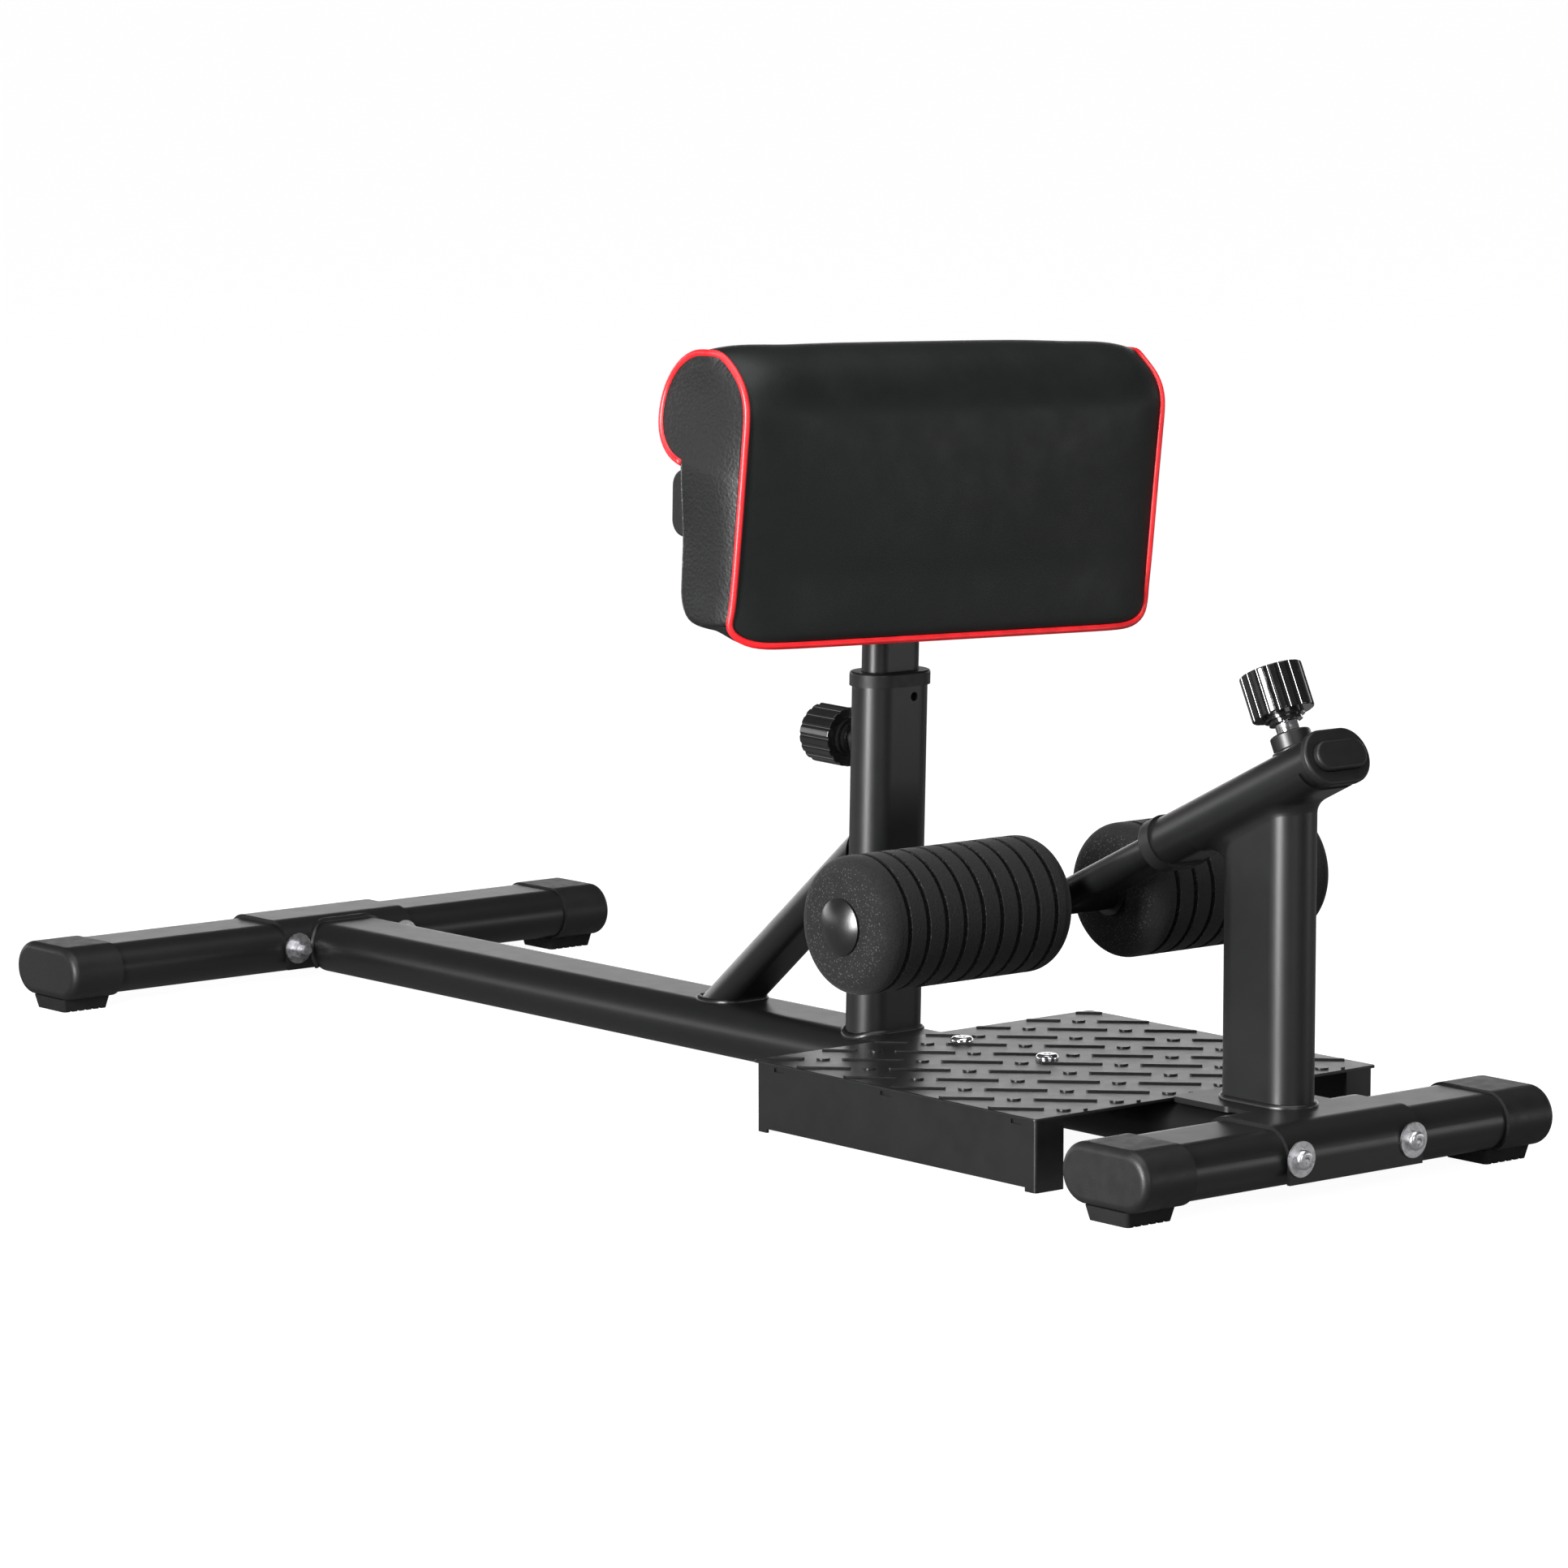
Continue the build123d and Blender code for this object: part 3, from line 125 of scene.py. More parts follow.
# ---- materials --------------------------------------------------------------------------
class Look:
    """A node material; its textures use object coordinates, which are metres in the model's frame."""

    def __init__(self, name, colour, roughness, **sockets):
        self.material = bpy.data.materials.new(name)
        self.material.use_nodes = True
        self.nodes = self.material.node_tree.nodes
        self.links = self.material.node_tree.links
        self.shader = self.nodes["Principled BSDF"]
        self.place = self.nodes.new("ShaderNodeTexCoord").outputs["Object"]
        self.shader.inputs["Base Color"].default_value = (*colour, 1.0)
        self.shader.inputs["Roughness"].default_value = roughness
        for socket, value in sockets.items():
            self.shader.inputs[socket.replace("_", " ")].default_value = value

    def noise(self, scale, detail):
        node = self.nodes.new("ShaderNodeTexNoise")
        node.inputs["Scale"].default_value = scale
        node.inputs["Detail"].default_value = detail
        self.links.new(self.place, node.inputs["Vector"])
        return node.outputs["Fac"]

    def cells(self, scale, feature="F1", stretch=None):
        node = self.nodes.new("ShaderNodeTexVoronoi")
        node.feature = feature
        node.inputs["Scale"].default_value = scale
        self.links.new(self.stretched(stretch), node.inputs["Vector"])
        return node.outputs["Distance"]

    def waves(self, scale, direction):
        node = self.nodes.new("ShaderNodeTexWave")
        node.bands_direction = direction
        node.inputs["Scale"].default_value = scale
        node.inputs["Distortion"].default_value = 0.4
        self.links.new(self.place, node.inputs["Vector"])
        return node.outputs["Fac"]

    def stretched(self, stretch):
        if stretch is None:
            return self.place
        node = self.nodes.new("ShaderNodeMapping")
        node.inputs["Scale"].default_value = stretch
        self.links.new(self.place, node.inputs["Vector"])
        return node.outputs["Vector"]

    def spread(self, value, low, high, start=0.3, end=0.7):
        """value, from start to end, becomes a number from low to high."""
        node = self.nodes.new("ShaderNodeMapRange")
        node.inputs["From Min"].default_value = start
        node.inputs["From Max"].default_value = end
        node.inputs["To Min"].default_value = low
        node.inputs["To Max"].default_value = high
        self.links.new(value, node.inputs["Value"])
        return node.outputs["Result"]

    def combined(self, operation, first, second):
        node = self.nodes.new("ShaderNodeMath")
        node.operation = operation
        self.links.new(first, node.inputs[0])
        self.links.new(second, node.inputs[1])
        return node.outputs["Value"]

    def product(self, first, second):
        return self.combined("MULTIPLY", first, second)

    def sum(self, first, second):
        return self.combined("ADD", first, second)

    def towards_ends(self, start, end):
        """0 on surfaces that face up, down, front or rear, 1 on those that face left or right."""
        parts = self.nodes.new("ShaderNodeSeparateXYZ")
        self.links.new(self.nodes.new("ShaderNodeTexCoord").outputs["Normal"], parts.inputs[0])
        square = self.product(parts.outputs["X"], parts.outputs["X"])
        return self.spread(square, 0.0, 1.0, start, end)

    def colours(self, value, dark, light, start=0.3, end=0.7):
        node = self.nodes.new("ShaderNodeValToRGB")
        node.color_ramp.elements[0].position = start
        node.color_ramp.elements[0].color = (*dark, 1.0)
        node.color_ramp.elements[1].position = end
        node.color_ramp.elements[1].color = (*light, 1.0)
        self.links.new(value, node.inputs["Fac"])
        self.links.new(node.outputs["Color"], self.shader.inputs["Base Color"])

    def roughness(self, value, low, high, start=0.3, end=0.7):
        self.links.new(self.spread(value, low, high, start, end), self.shader.inputs["Roughness"])

    def relief(self, *layers):
        """Bumps, each a height from 0 to 1 and the depth in metres that it stands for."""
        normal = None
        for height, depth in layers:
            node = self.nodes.new("ShaderNodeBump")
            node.inputs["Strength"].default_value = 1.0
            node.inputs["Distance"].default_value = depth
            self.links.new(height, node.inputs["Height"])
            if normal is not None:
                self.links.new(normal, node.inputs["Normal"])
            normal = node.outputs["Normal"]
        self.links.new(normal, self.shader.inputs["Normal"])


def grey(level, tint=(1.0, 1.0, 1.0)):
    return tuple(level * part for part in tint)


COOL = (0.96, 1.0, 1.02)


def powder_coat():
    """Satin black coat with a faint orange peel."""
    look = Look("powder_coat", grey(0.004), 0.37, Specular_IOR_Level=0.5)
    look.colours(look.noise(9, 3), grey(0.0037, COOL), grey(0.0044, COOL))
    look.roughness(look.noise(60, 2), 0.36, 0.385)
    look.relief((look.noise(500, 2), 0.012 * MM), (look.noise(1500, 1), 0.008 * MM))
    return look.material


def plate_coat():
    """Same coat on the pressed sheet."""
    look = Look("plate_coat", grey(0.004), 0.34, Specular_IOR_Level=0.5)
    look.colours(look.noise(35, 4), grey(0.0035, COOL), grey(0.005, COOL))
    look.roughness(look.noise(90, 3), 0.32, 0.36)
    look.relief((look.noise(380, 2), 0.02 * MM), (look.noise(1400, 1), 0.01 * MM))
    return look.material


def cap_plastic():
    """Moulded end caps and bushes with a spark-eroded grain."""
    look = Look("cap_plastic", grey(0.006), 0.47, Specular_IOR_Level=0.36)
    look.colours(look.noise(14, 3), grey(0.005), grey(0.0075))
    look.roughness(look.noise(120, 3), 0.42, 0.52)
    look.relief((look.cells(1100), 0.035 * MM), (look.noise(500, 2), 0.02 * MM))
    return look.material


def dome_plastic():
    """Smooth plugs in the ends of the roller bar."""
    look = Look("dome_plastic", grey(0.005), 0.3, Specular_IOR_Level=0.5)
    look.colours(look.noise(40, 3), grey(0.0045), grey(0.006))
    look.roughness(look.noise(150, 3), 0.27, 0.33)
    look.relief((look.noise(900, 2), 0.012 * MM))
    return look.material


def knob_gloss():
    look = Look("knob_gloss", grey(0.006), 0.13, Coat_Weight=0.5, Coat_Roughness=0.06)
    look.colours(look.noise(30, 3), grey(0.0045), grey(0.0075))
    look.roughness(look.noise(200, 4), 0.09, 0.2)
    look.relief((look.noise(160, 2), 0.03 * MM))
    return look.material


def foot_rubber():
    look = Look("foot_rubber", grey(0.005), 0.75, Specular_IOR_Level=0.3)
    look.colours(look.noise(70, 5), grey(0.004), grey(0.007))
    look.roughness(look.noise(150, 3), 0.66, 0.84)
    look.relief((look.noise(900, 3), 0.06 * MM))
    return look.material


def roller_foam():
    """Closed-cell foam: matte, with fine pores; its cut ends show small pale specks."""
    sheen = {"Sheen_Weight": 0.05, "Sheen_Roughness": 0.5}
    look = Look("roller_foam", grey(0.004), 0.86, Specular_IOR_Level=0.22, **sheen)
    pores = look.cells(620)
    bubbles = look.spread(look.cells(480), 1.0, 0.0, 0.12, 0.3)
    specks = look.product(bubbles, look.towards_ends(0.45, 0.9))
    mottle = look.spread(look.noise(750, 2), 0.0, 0.1, 0.3, 0.7)
    look.colours(look.sum(specks, mottle), grey(0.0035), grey(0.05), 0.0, 1.0)
    look.roughness(look.noise(90, 2), 0.8, 0.9)
    look.relief((pores, 0.22 * MM), (look.noise(900, 3), 0.12 * MM))
    return look.material


def zinc():
    look = Look("zinc_plate", grey(0.62), 0.3, Metallic=1.0)
    look.colours(look.noise(220, 4), (0.5, 0.5, 0.51), (0.74, 0.74, 0.77))
    look.roughness(look.noise(300, 4), 0.22, 0.42)
    look.relief((look.noise(900, 2), 0.02 * MM))
    return look.material


def chrome():
    look = Look("chrome_plate", grey(0.75), 0.12, Metallic=1.0)
    look.colours(look.noise(80, 3), (0.62, 0.63, 0.65), (0.82, 0.82, 0.85))
    look.roughness(look.noise(400, 3), 0.08, 0.22)
    return look.material


def spring_wire():
    look = Look("spring_wire", grey(0.4), 0.35, Metallic=1.0)
    look.colours(look.noise(500, 3), (0.28, 0.28, 0.29), (0.5, 0.5, 0.52))
    look.roughness(look.noise(700, 2), 0.28, 0.45)
    return look.material


def smooth_leather():
    """Calendered face of the cushion: nearly plain, with a fine even grain."""
    look = Look("smooth_leather", grey(0.006), 0.46, Specular_IOR_Level=0.28)
    look.colours(look.noise(11, 4), (0.005, 0.0058, 0.0056), (0.0064, 0.0074, 0.0071))
    look.roughness(look.noise(40, 4), 0.42, 0.52)
    look.relief(
        (look.noise(16, 2), 0.5 * MM),
        (look.cells(900, stretch=(1.0, 1.0, 0.8)), 0.05 * MM),
        (look.noise(1600, 2), 0.03 * MM),
    )
    return look.material


def grained_leather():
    """Pebbled sides of the cushion; their colour holds painted highlights on the pebbles' crowns and
    painted shade in the creases between them.
    """
    look = Look("grained_leather", grey(0.005), 0.42, Specular_IOR_Level=0.36)
    pebble_grain_and_shade = look.cells(430, "SMOOTH_F1")
    # painted highlight and shade: the pebbles' crowns are coloured lighter and the creases between
    # them darker
    look.colours(pebble_grain_and_shade, grey(0.0055, COOL), grey(0.0028, COOL), 0.15, 0.6)
    look.roughness(pebble_grain_and_shade, 0.36, 0.5, 0.1, 0.6)
    look.relief(
        (look.noise(120, 3), 0.1 * MM),
        (look.spread(pebble_grain_and_shade, 1.0, 0.0, 0.1, 0.7), 0.15 * MM),
        (look.noise(1500, 2), 0.03 * MM),
    )
    return look.material


def red_piping():
    look = Look("red_piping", (0.72, 0.008, 0.012), 0.4, Coat_Weight=0.15, Coat_Roughness=0.3)
    look.colours(look.noise(60, 4), (0.6, 0.006, 0.01), (0.82, 0.014, 0.02))
    look.roughness(look.noise(140, 3), 0.36, 0.46)
    look.relief((look.noise(260, 2), 0.12 * MM), (look.noise(1400, 2), 0.03 * MM))
    return look.material


def lining_cloth():
    """Black lining stapled over the cushion's board."""
    look = Look("lining_cloth", grey(0.012), 0.85, Specular_IOR_Level=0.25)
    weave = look.product(look.waves(260, "X"), look.waves(260, "Z"))
    look.colours(weave, grey(0.007), grey(0.022), 0.1, 0.7)
    look.roughness(look.noise(60, 3), 0.78, 0.92)
    look.relief((weave, 0.25 * MM))
    return look.material


LOOKS = {
    "frame_paint": powder_coat(),
    "plate_paint": plate_coat(),
    "cap_plastic": cap_plastic(),
    "dome": dome_plastic(),
    "knob_gloss": knob_gloss(),
    "foot_rubber": foot_rubber(),
    "foam": roller_foam(),
    "zinc": zinc(),
    "chrome": chrome(),
    "spring_steel": spring_wire(),
    "vinyl": smooth_leather(),
    "grained": grained_leather(),
    "piping": red_piping(),
    "plywood": lining_cloth(),
}


def dress_nodes():
    """Gives every CAD node the look of its material slot; the domed roller caps are smoother."""
    for part in RECORD["subparts"]:
        look = "dome" if part["node"].endswith("roller_cap") else part["material_slot"]
        for place in NODES[part["node"]].material_slots:
            place.material = LOOKS[look]


# ---- geometry helpers -------------------------------------------------------------------
def new_piece(name, vertices, faces, looks, body):
    """A smooth-shaded mesh that rides on a body."""
    mesh = bpy.data.meshes.new(name)
    mesh.from_pydata([tuple(vertex) for vertex in vertices], [], faces)
    mesh.validate()
    for look in looks:
        mesh.materials.append(look)
    mesh.shade_smooth()
    piece = bpy.data.objects.new(name, mesh)
    bpy.context.scene.collection.objects.link(piece)
    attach(piece, body)
    return piece


def tube(name, points, radius, look, body, closed=False, swell=None):
    """A round tube along points, as a mesh; swell(i) scales its radius at each point."""
    sides = TUBE_SIDES
    count = len(points)
    vertices = []
    side = None
    for i, point in enumerate(points):
        if closed:
            ahead = points[(i + 1) % count] - points[i - 1]
        else:
            ahead = points[min(i + 1, count - 1)] - points[max(i - 1, 0)]
        ahead.normalize()
        if side is None:
            side = ahead.orthogonal()
        side = (side - ahead * side.dot(ahead)).normalized()
        other = ahead.cross(side)
        reach = radius * (swell(i) if swell else 1.0)
        for step in range(sides):
            turn = 2 * math.pi * step / sides
            vertices.append(point + reach * (math.cos(turn) * side + math.sin(turn) * other))
    twist = 0
    if closed:
        first = vertices[0] - points[0]
        last_ring = [vertices[(count - 1) * sides + step] - points[-1] for step in range(sides)]
        twist = max(range(sides), key=lambda step: last_ring[step].dot(first))
    faces = []
    for i in range(count if closed else count - 1):
        here = i * sides
        there = (i + 1) % count * sides
        shift = twist if closed and i == count - 1 else 0
        for step in range(sides):
            after = (step + 1) % sides
            low, high = (step + shift) % sides, (after + shift) % sides
            faces.append((here + low, here + high, there + after, there + step))
    if not closed:
        faces.append(tuple(reversed(range(sides))))
        faces.append(tuple((count - 1) * sides + step for step in range(sides)))
    return new_piece(name, vertices, faces, [look], body)


def surface_of(node):
    """Search tree over a CAD node's surface."""
    mesh = NODES[node].data
    corners = [vertex.co.copy() for vertex in mesh.vertices]
    return BVHTree.FromPolygons(corners, [tuple(polygon.vertices) for polygon in mesh.polygons])


def oval(centre, long_way, short_way, length, width, count=72):
    """Points round a flat oval, evenly spaced along it."""
    radius = width / 2
    straight = length - width
    total = 2 * straight + 2 * math.pi * radius
    points = []
    for i in range(count):
        run = (i + 0.5) * total / count
        if run < straight:
            along, across = run - straight / 2, radius
        elif run < straight + math.pi * radius:
            turn = (run - straight) / radius
            along, across = straight / 2 + radius * math.sin(turn), radius * math.cos(turn)
        elif run < 2 * straight + math.pi * radius:
            along, across = straight / 2 - (run - straight - math.pi * radius), -radius
        else:
            turn = (run - 2 * straight - math.pi * radius) / radius
            along, across = -straight / 2 - radius * math.sin(turn), -radius * math.cos(turn)
        points.append(centre + long_way * along + short_way * across)
    return points


def ring_round(node):
    """Outline of a flat-oval tube as it is near its foot, about its middle, and the way it runs."""
    mesh = NODES[node].data
    places = [v.co for v in mesh.vertices]
    edges = [places[edge.vertices[0]] - places[edge.vertices[1]] for edge in mesh.edges]
    way = max(edges, key=lambda edge: edge.length).normalized()
    if way.z + way.y * 0.1 < 0:
        way = -way
    other = way.cross(X_WAY).normalized()
    run = [place.dot(way) for place in places]
    low, high = min(run), max(run)
    near_foot = [place for place, height in zip(places, run) if height < low + (high - low) / 3]
    wide = [place.x for place in near_foot]
    deep = [place.dot(other) for place in near_foot]
    middle = (max(deep) + min(deep)) / 2
    centre = other * middle + way * ((low + high) / 2)
    width, depth = max(wide) - min(wide), max(deep) - min(deep)
    if width > depth:
        return oval(centre, X_WAY, other, width, depth), way
    return oval(centre, other, X_WAY, depth, width), way


def weld(name, outline, way, target, radius, body="base"):
    """A painted weld bead where the tube with this outline, going along way, meets target."""
    tree = surface_of(target)
    hits = [tree.ray_cast(point, way)[0] for point in outline]
    closed = None not in hits
    if not closed:
        gap = hits.index(None)
        hits = hits[gap:] + hits[:gap]
    points = [hit for hit in hits if hit is not None]

    def ripple(i):
        return 1.0 + RIPPLE * math.sin(i * 1.9) + RIPPLE * math.sin(i * 0.7 + 1.0)

    return tube(name, points, radius, LOOKS["frame_paint"], body, closed, ripple)


# ---- cushion ----------------------------------------------------------------------------
UP = Vector(JOINTS["seat_height"]["axis"])
BACK = Vector((0.0, UP.z, -UP.y))


def cushion_outline():
    """The CAD cushion's end outline as (rearward, up) pairs, from the notch over the top."""
    mesh = NODES["pad_cushion"].data
    left = min(v.co.x for v in mesh.vertices)
    on_end = [abs(v.co.x - left) < 0.01 * MM for v in mesh.vertices]
    neighbours = {}

    def key(i):
        place = mesh.vertices[i].co
        return round(place.dot(BACK), 6), round(place.dot(UP), 6)

    for face in mesh.polygons:
        corners = list(face.vertices)
        if all(on_end[i] for i in corners):
            continue
        for a, b in zip(corners, corners[1:] + corners[:1]):
            if on_end[a] and on_end[b] and key(a) != key(b):
                neighbours.setdefault(key(a), set()).add(key(b))
                neighbours.setdefault(key(b), set()).add(key(a))
    flat_back = [p for p in neighbours if any(abs(p[0] - q[0]) < 0.01 * MM for q in neighbours[p])]
    notch = max(flat_back, key=lambda p: p[1])
    loop = [notch, max(neighbours[notch], key=lambda p: p[1])]
    while True:
        following = [p for p in neighbours[loop[-1]] if p != loop[-2]]
        if following[0] == notch:
            return loop
        loop.append(following[0])


def resampled(loop, count):
    """count points at even spacing round a closed loop, starting from its first point."""
    closed = loop + loop[:1]
    spans = [math.dist(a, b) for a, b in zip(closed, closed[1:])]
    step = sum(spans) / count
    points = []
    span, passed = 0, 0.0
    for i in range(count):
        while passed + spans[span] < i * step - 1e-9:
            passed += spans[span]
            span += 1
        part = (i * step - passed) / spans[span]
        a, b = closed[span], closed[span + 1]
        points.append((a[0] + (b[0] - a[0]) * part, a[1] + (b[1] - a[1]) * part))
    return points


def outward_normals(points):
    count = len(points)
    normals = []
    for i in range(count):
        ahead, behind = points[(i + 1) % count], points[i - 1]
        normal = Vector((behind[1] - ahead[1], ahead[0] - behind[0]))
        normals.append(normal.normalized())
    inside = (sum(p[0] for p in points) / count, sum(p[1] for p in points) / count)
    probe = max(range(count), key=lambda i: points[i][1])
    if normals[probe].y * (points[probe][1] - inside[1]) < 0:
        normals = [-normal for normal in normals]
    return normals


def smooth_step(value):
    value = max(0.0, min(1.0, value))
    return value * value * (3 - 2 * value)


class Profile:
    """The cushion's section, with how much each of its points faces each way, from 0 to 1."""

    def __init__(self):
        self.points = resampled(cushion_outline(), PROFILE_POINTS)
        self.normals = outward_normals(self.points)
        ups = [up for rear, up in self.points]
        rears = [rear for rear, up in self.points]
        self.toe = min(range(PROFILE_POINTS), key=lambda i: sum(self.points[i]))
        self.top = max(range(PROFILE_POINTS), key=lambda i: ups[i])
        notch_rear, notch_up = self.points[0]
        front, low, high = min(rears), min(ups), max(ups)
        depth = notch_rear - front
        self.front, self.upper, self.behind, self.low, self.flare, self.soft = [], [], [], [], [], []
        for i, (rear, up) in enumerate(self.points):
            on_roll = smooth_step((up - notch_up + 5 * MM) / (10 * MM))
            self.front.append(smooth_step((front + 0.75 * depth - rear) / (0.5 * depth)))
            self.upper.append(smooth_step((up - high + TOP_REACH) / TOP_REACH))
            self.behind.append(on_roll * smooth_step((rear - notch_rear) / (20 * MM)))
            forward = smooth_step((notch_rear - rear) / (0.8 * depth))
            self.low.append(smooth_step(1 - (up - low) / LOW_REACH) * (0.05 + 0.95 * forward))
            near_notch = 1 - smooth_step(abs(up - notch_up) / NOTCH_REACH)
            open_behind = 1 - smooth_step((notch_rear - rear) / (0.7 * depth))
            self.flare.append((0.5 + 0.5 * near_notch) * open_behind)
            from_toe = abs(i - self.toe) / (0.1 * PROFILE_POINTS)
            from_notch = min(i, PROFILE_POINTS - i) / (0.1 * PROFILE_POINTS)
            self.soft.append(smooth_step(from_toe) * smooth_step(from_notch) * (1 - self.on_back(i)))

    def on_back(self, i):
        """1 where the cushion lies flat on its bracket."""
        rear, up = self.points[i]
        notch_rear, notch_up = self.points[0]
        return 1.0 if rear > notch_rear - 0.3 * MM and up < notch_up else 0.0

    def section(self, half, x):
        """Points of the section at x, drawn in towards the cushion's ends."""
        out = 1 if x > 0 else -1
        to_end = half - abs(x)
        corner = max(0.0, 1 - to_end / CORNER_R)
        rounding = 1 - math.sqrt(max(0.0, 1 - corner * corner))
        crown = max(0.0, 1 - to_end / CROWN_RUN) ** CROWN_POWER
        middle = smooth_step(to_end / CROWN_RUN)
        rightward = max(0.0, x / half) ** 3
        rise = TOP_RISE * (1 - (x / half) ** 4) - RIGHT_DROOP * rightward
        x -= RIGHT_DRAW * rightward
        placed = []
        for i, ((rear, up), normal) in enumerate(zip(self.points, self.normals)):
            rear += self.front[i] * (FRONT_CROWN * crown + EDGE_ROLL * rounding)
            rear -= self.behind[i] * BACK_CROWN * crown
            up += self.upper[i] * (rise - TOP_CROWN * crown - EDGE_ROLL * rounding)
            up += self.low[i] * CORNER_RISE * rounding
            shrink = SHRINK * middle * self.soft[i]
            recess = BACK_RECESS * self.on_back(i) * smooth_step(to_end / (20 * MM))
            rear -= normal.x * shrink + recess
            up -= normal.y * shrink
            flare = out * PANEL_BULGE * self.flare[i] * corner ** 2
            placed.append(Vector((x + flare, 0, 0)) + BACK * rear + UP * up)
        return placed

    def panel_strips(self):
        """Pairs of points, front and rear, that face each other across an end panel."""
        strips = []
        front, rear = self.top, self.top
        for _ in range(PROFILE_POINTS // 2 - 1):
            front = (front + 1) % PROFILE_POINTS
            rear = (rear - 1) % PROFILE_POINTS
            strips.append((front, rear))
        return strips


def end_panel(profile, vertices, base, out):
    """Faces of a swollen end panel; adds its vertices to those of the section that starts at base."""
    faces = []
    last = None
    for front, rear in profile.panel_strips():
        a, b = vertices[base + front], vertices[base + rear]
        line = [base + front]
        bulge = PANEL_BULGE * min(1.0, (b - a).length / BULGE_SPAN) ** 0.5
        for column in range(1, PANEL_COLUMNS):
            share = column / PANEL_COLUMNS
            lift = bulge * (1 - (1 - share) ** 3 - share)
            line.append(len(vertices))
            vertices.append(a.lerp(b, share) + Vector((out * lift, 0, 0)))
        line.append(base + rear)
        if last is None:
            tip = base + profile.top
            faces += [(tip, line[k], line[k + 1]) for k in range(PANEL_COLUMNS)]
        else:
            faces += [(last[k], line[k], line[k + 1], last[k + 1]) for k in range(PANEL_COLUMNS)]
        last = line
    tip = base + (profile.top + PROFILE_POINTS // 2) % PROFILE_POINTS
    faces += [(tip, last[k + 1], last[k]) for k in range(PANEL_COLUMNS)]
    return faces if out < 0 else [tuple(reversed(face)) for face in faces]


def cushion_shape(profile):
    """Vertices, faces, material of each face, seam and held vertices of the cushion."""
    low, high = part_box("pad_cushion")
    half = (high[0] - low[0]) / 2
    inner = half - CORNER_R
    xs = [inner * (2 * i / MIDDLE_SECTIONS - 1) for i in range(MIDDLE_SECTIONS + 1)]
    turns = [math.pi / 2 * (i + 1) / CORNER_SECTIONS for i in range(CORNER_SECTIONS)]
    corner = [CORNER_R * math.sin(turn) for turn in turns]
    xs = [-inner - step for step in reversed(corner)] + xs + [inner + step for step in corner]
    count = PROFILE_POINTS
    last_row = (len(xs) - 1) * count
    vertices = []
    for x in xs:
        vertices += profile.section(half, x)
    faces, kinds = [], []
    for base in range(0, last_row, count):
        for i in range(count):
            after = (i + 1) % count
            faces.append((base + i, base + after, base + count + after, base + count + i))
            kinds.append(1 if i >= profile.toe and not profile.on_back(i) else 0)
    for out, base in ((-1, 0), (1, last_row)):
        panel = end_panel(profile, vertices, base, out)
        faces += panel
        kinds += [1] * len(panel)
    toe = profile.toe
    seam = list(range(0, toe + 1))
    seam += [row * count + toe for row in range(1, len(xs) - 1)]
    seam += [last_row + i for i in range(toe, -1, -1)]
    backs = [i for i in range(count) if profile.on_back(i)]
    held = set(seam) | {row * count + i for row in range(len(xs)) for i in backs}
    return vertices, faces, kinds, seam, sorted(held)


def swell_cushion(piece, held):
    """Inflates the cushion as cloth with its seams and back held.

    The whole swelling is scaled, so that no point moves further than SWELL.
    """
    start = [v.co.copy() for v in piece.data.vertices]
    group = piece.vertex_groups.new(name="held")
    group.add(held, 1.0, "REPLACE")
    cloth = piece.modifiers.new("swell", "CLOTH")
    settings = cloth.settings
    settings.vertex_group_mass = "held"
    settings.use_pressure = True
    settings.uniform_pressure_force = CLOTH_PRESSURE
    settings.effector_weights.gravity = 0.0
    settings.tension_stiffness = CLOTH_STIFFNESS
    settings.compression_stiffness = CLOTH_STIFFNESS
    settings.bending_stiffness = CLOTH_BENDING
    settings.quality = 5
    cloth.collision_settings.use_collision = False
    scene = bpy.context.scene
    for step in range(1, CLOTH_STEPS + 1):
        scene.frame_set(step)
    shape = piece.evaluated_get(bpy.context.evaluated_depsgraph_get()).data
    moves = [now.co - was for now, was in zip(shape.vertices, start)]
    piece.modifiers.remove(cloth)
    scene.frame_set(1)
    moves = evened(moves, piece.data.edges, set(held), EVEN_PASSES)
    furthest = max(move.length for move in moves)
    print("cushion swelled by", round(furthest / MM, 1), "mm, kept to", SWELL / MM)
    for vertex, was, move in zip(piece.data.vertices, start, moves):
        vertex.co = was + move * min(1.0, SWELL / furthest)


def evened(moves, edges, held, passes):
    """The moves averaged with their neighbours', which takes small wrinkles out."""
    pairs = [tuple(edge.vertices) for edge in edges]
    for _ in range(passes):
        totals = [move.copy() for move in moves]
        counts = [1] * len(moves)
        for a, b in pairs:
            totals[a] += moves[b]
            totals[b] += moves[a]
            counts[a] += 1
            counts[b] += 1
        moves = [move if i in held else totals[i] / counts[i] for i, move in enumerate(moves)]
    return moves


def make_cushion():
    profile = Profile()
    vertices, faces, kinds, seam, held = cushion_shape(profile)
    looks = [LOOKS["vinyl"], LOOKS["grained"]]
    piece = new_piece("calf_cushion", vertices, faces, looks, "seat")
    for polygon, kind in zip(piece.data.polygons, kinds):
        polygon.material_index = kind
    swell_cushion(piece, held)
    low, high = (Vector(corner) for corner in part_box("pad_bracket"))
    pivot = Matrix.Translation((low + high) / 2)
    piece.data.transform(pivot @ Matrix.Rotation(math.radians(TILT), 4, "Y") @ pivot.inverted())
    piece.data.update()
    sewn = [piece.data.vertices[i] for i in seam]
    path = [vertex.co + vertex.normal * 0.5 * PIPING_R for vertex in sewn]
    piece.modifiers.new("smooth", "SUBSURF").levels = 1
    piece.modifiers["smooth"].render_levels = 1
    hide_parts("pad_cushion")
    path = smoothed(path, PIPING_PASSES)
    tube("cushion_piping", path, PIPING_R, LOOKS["piping"], "seat")


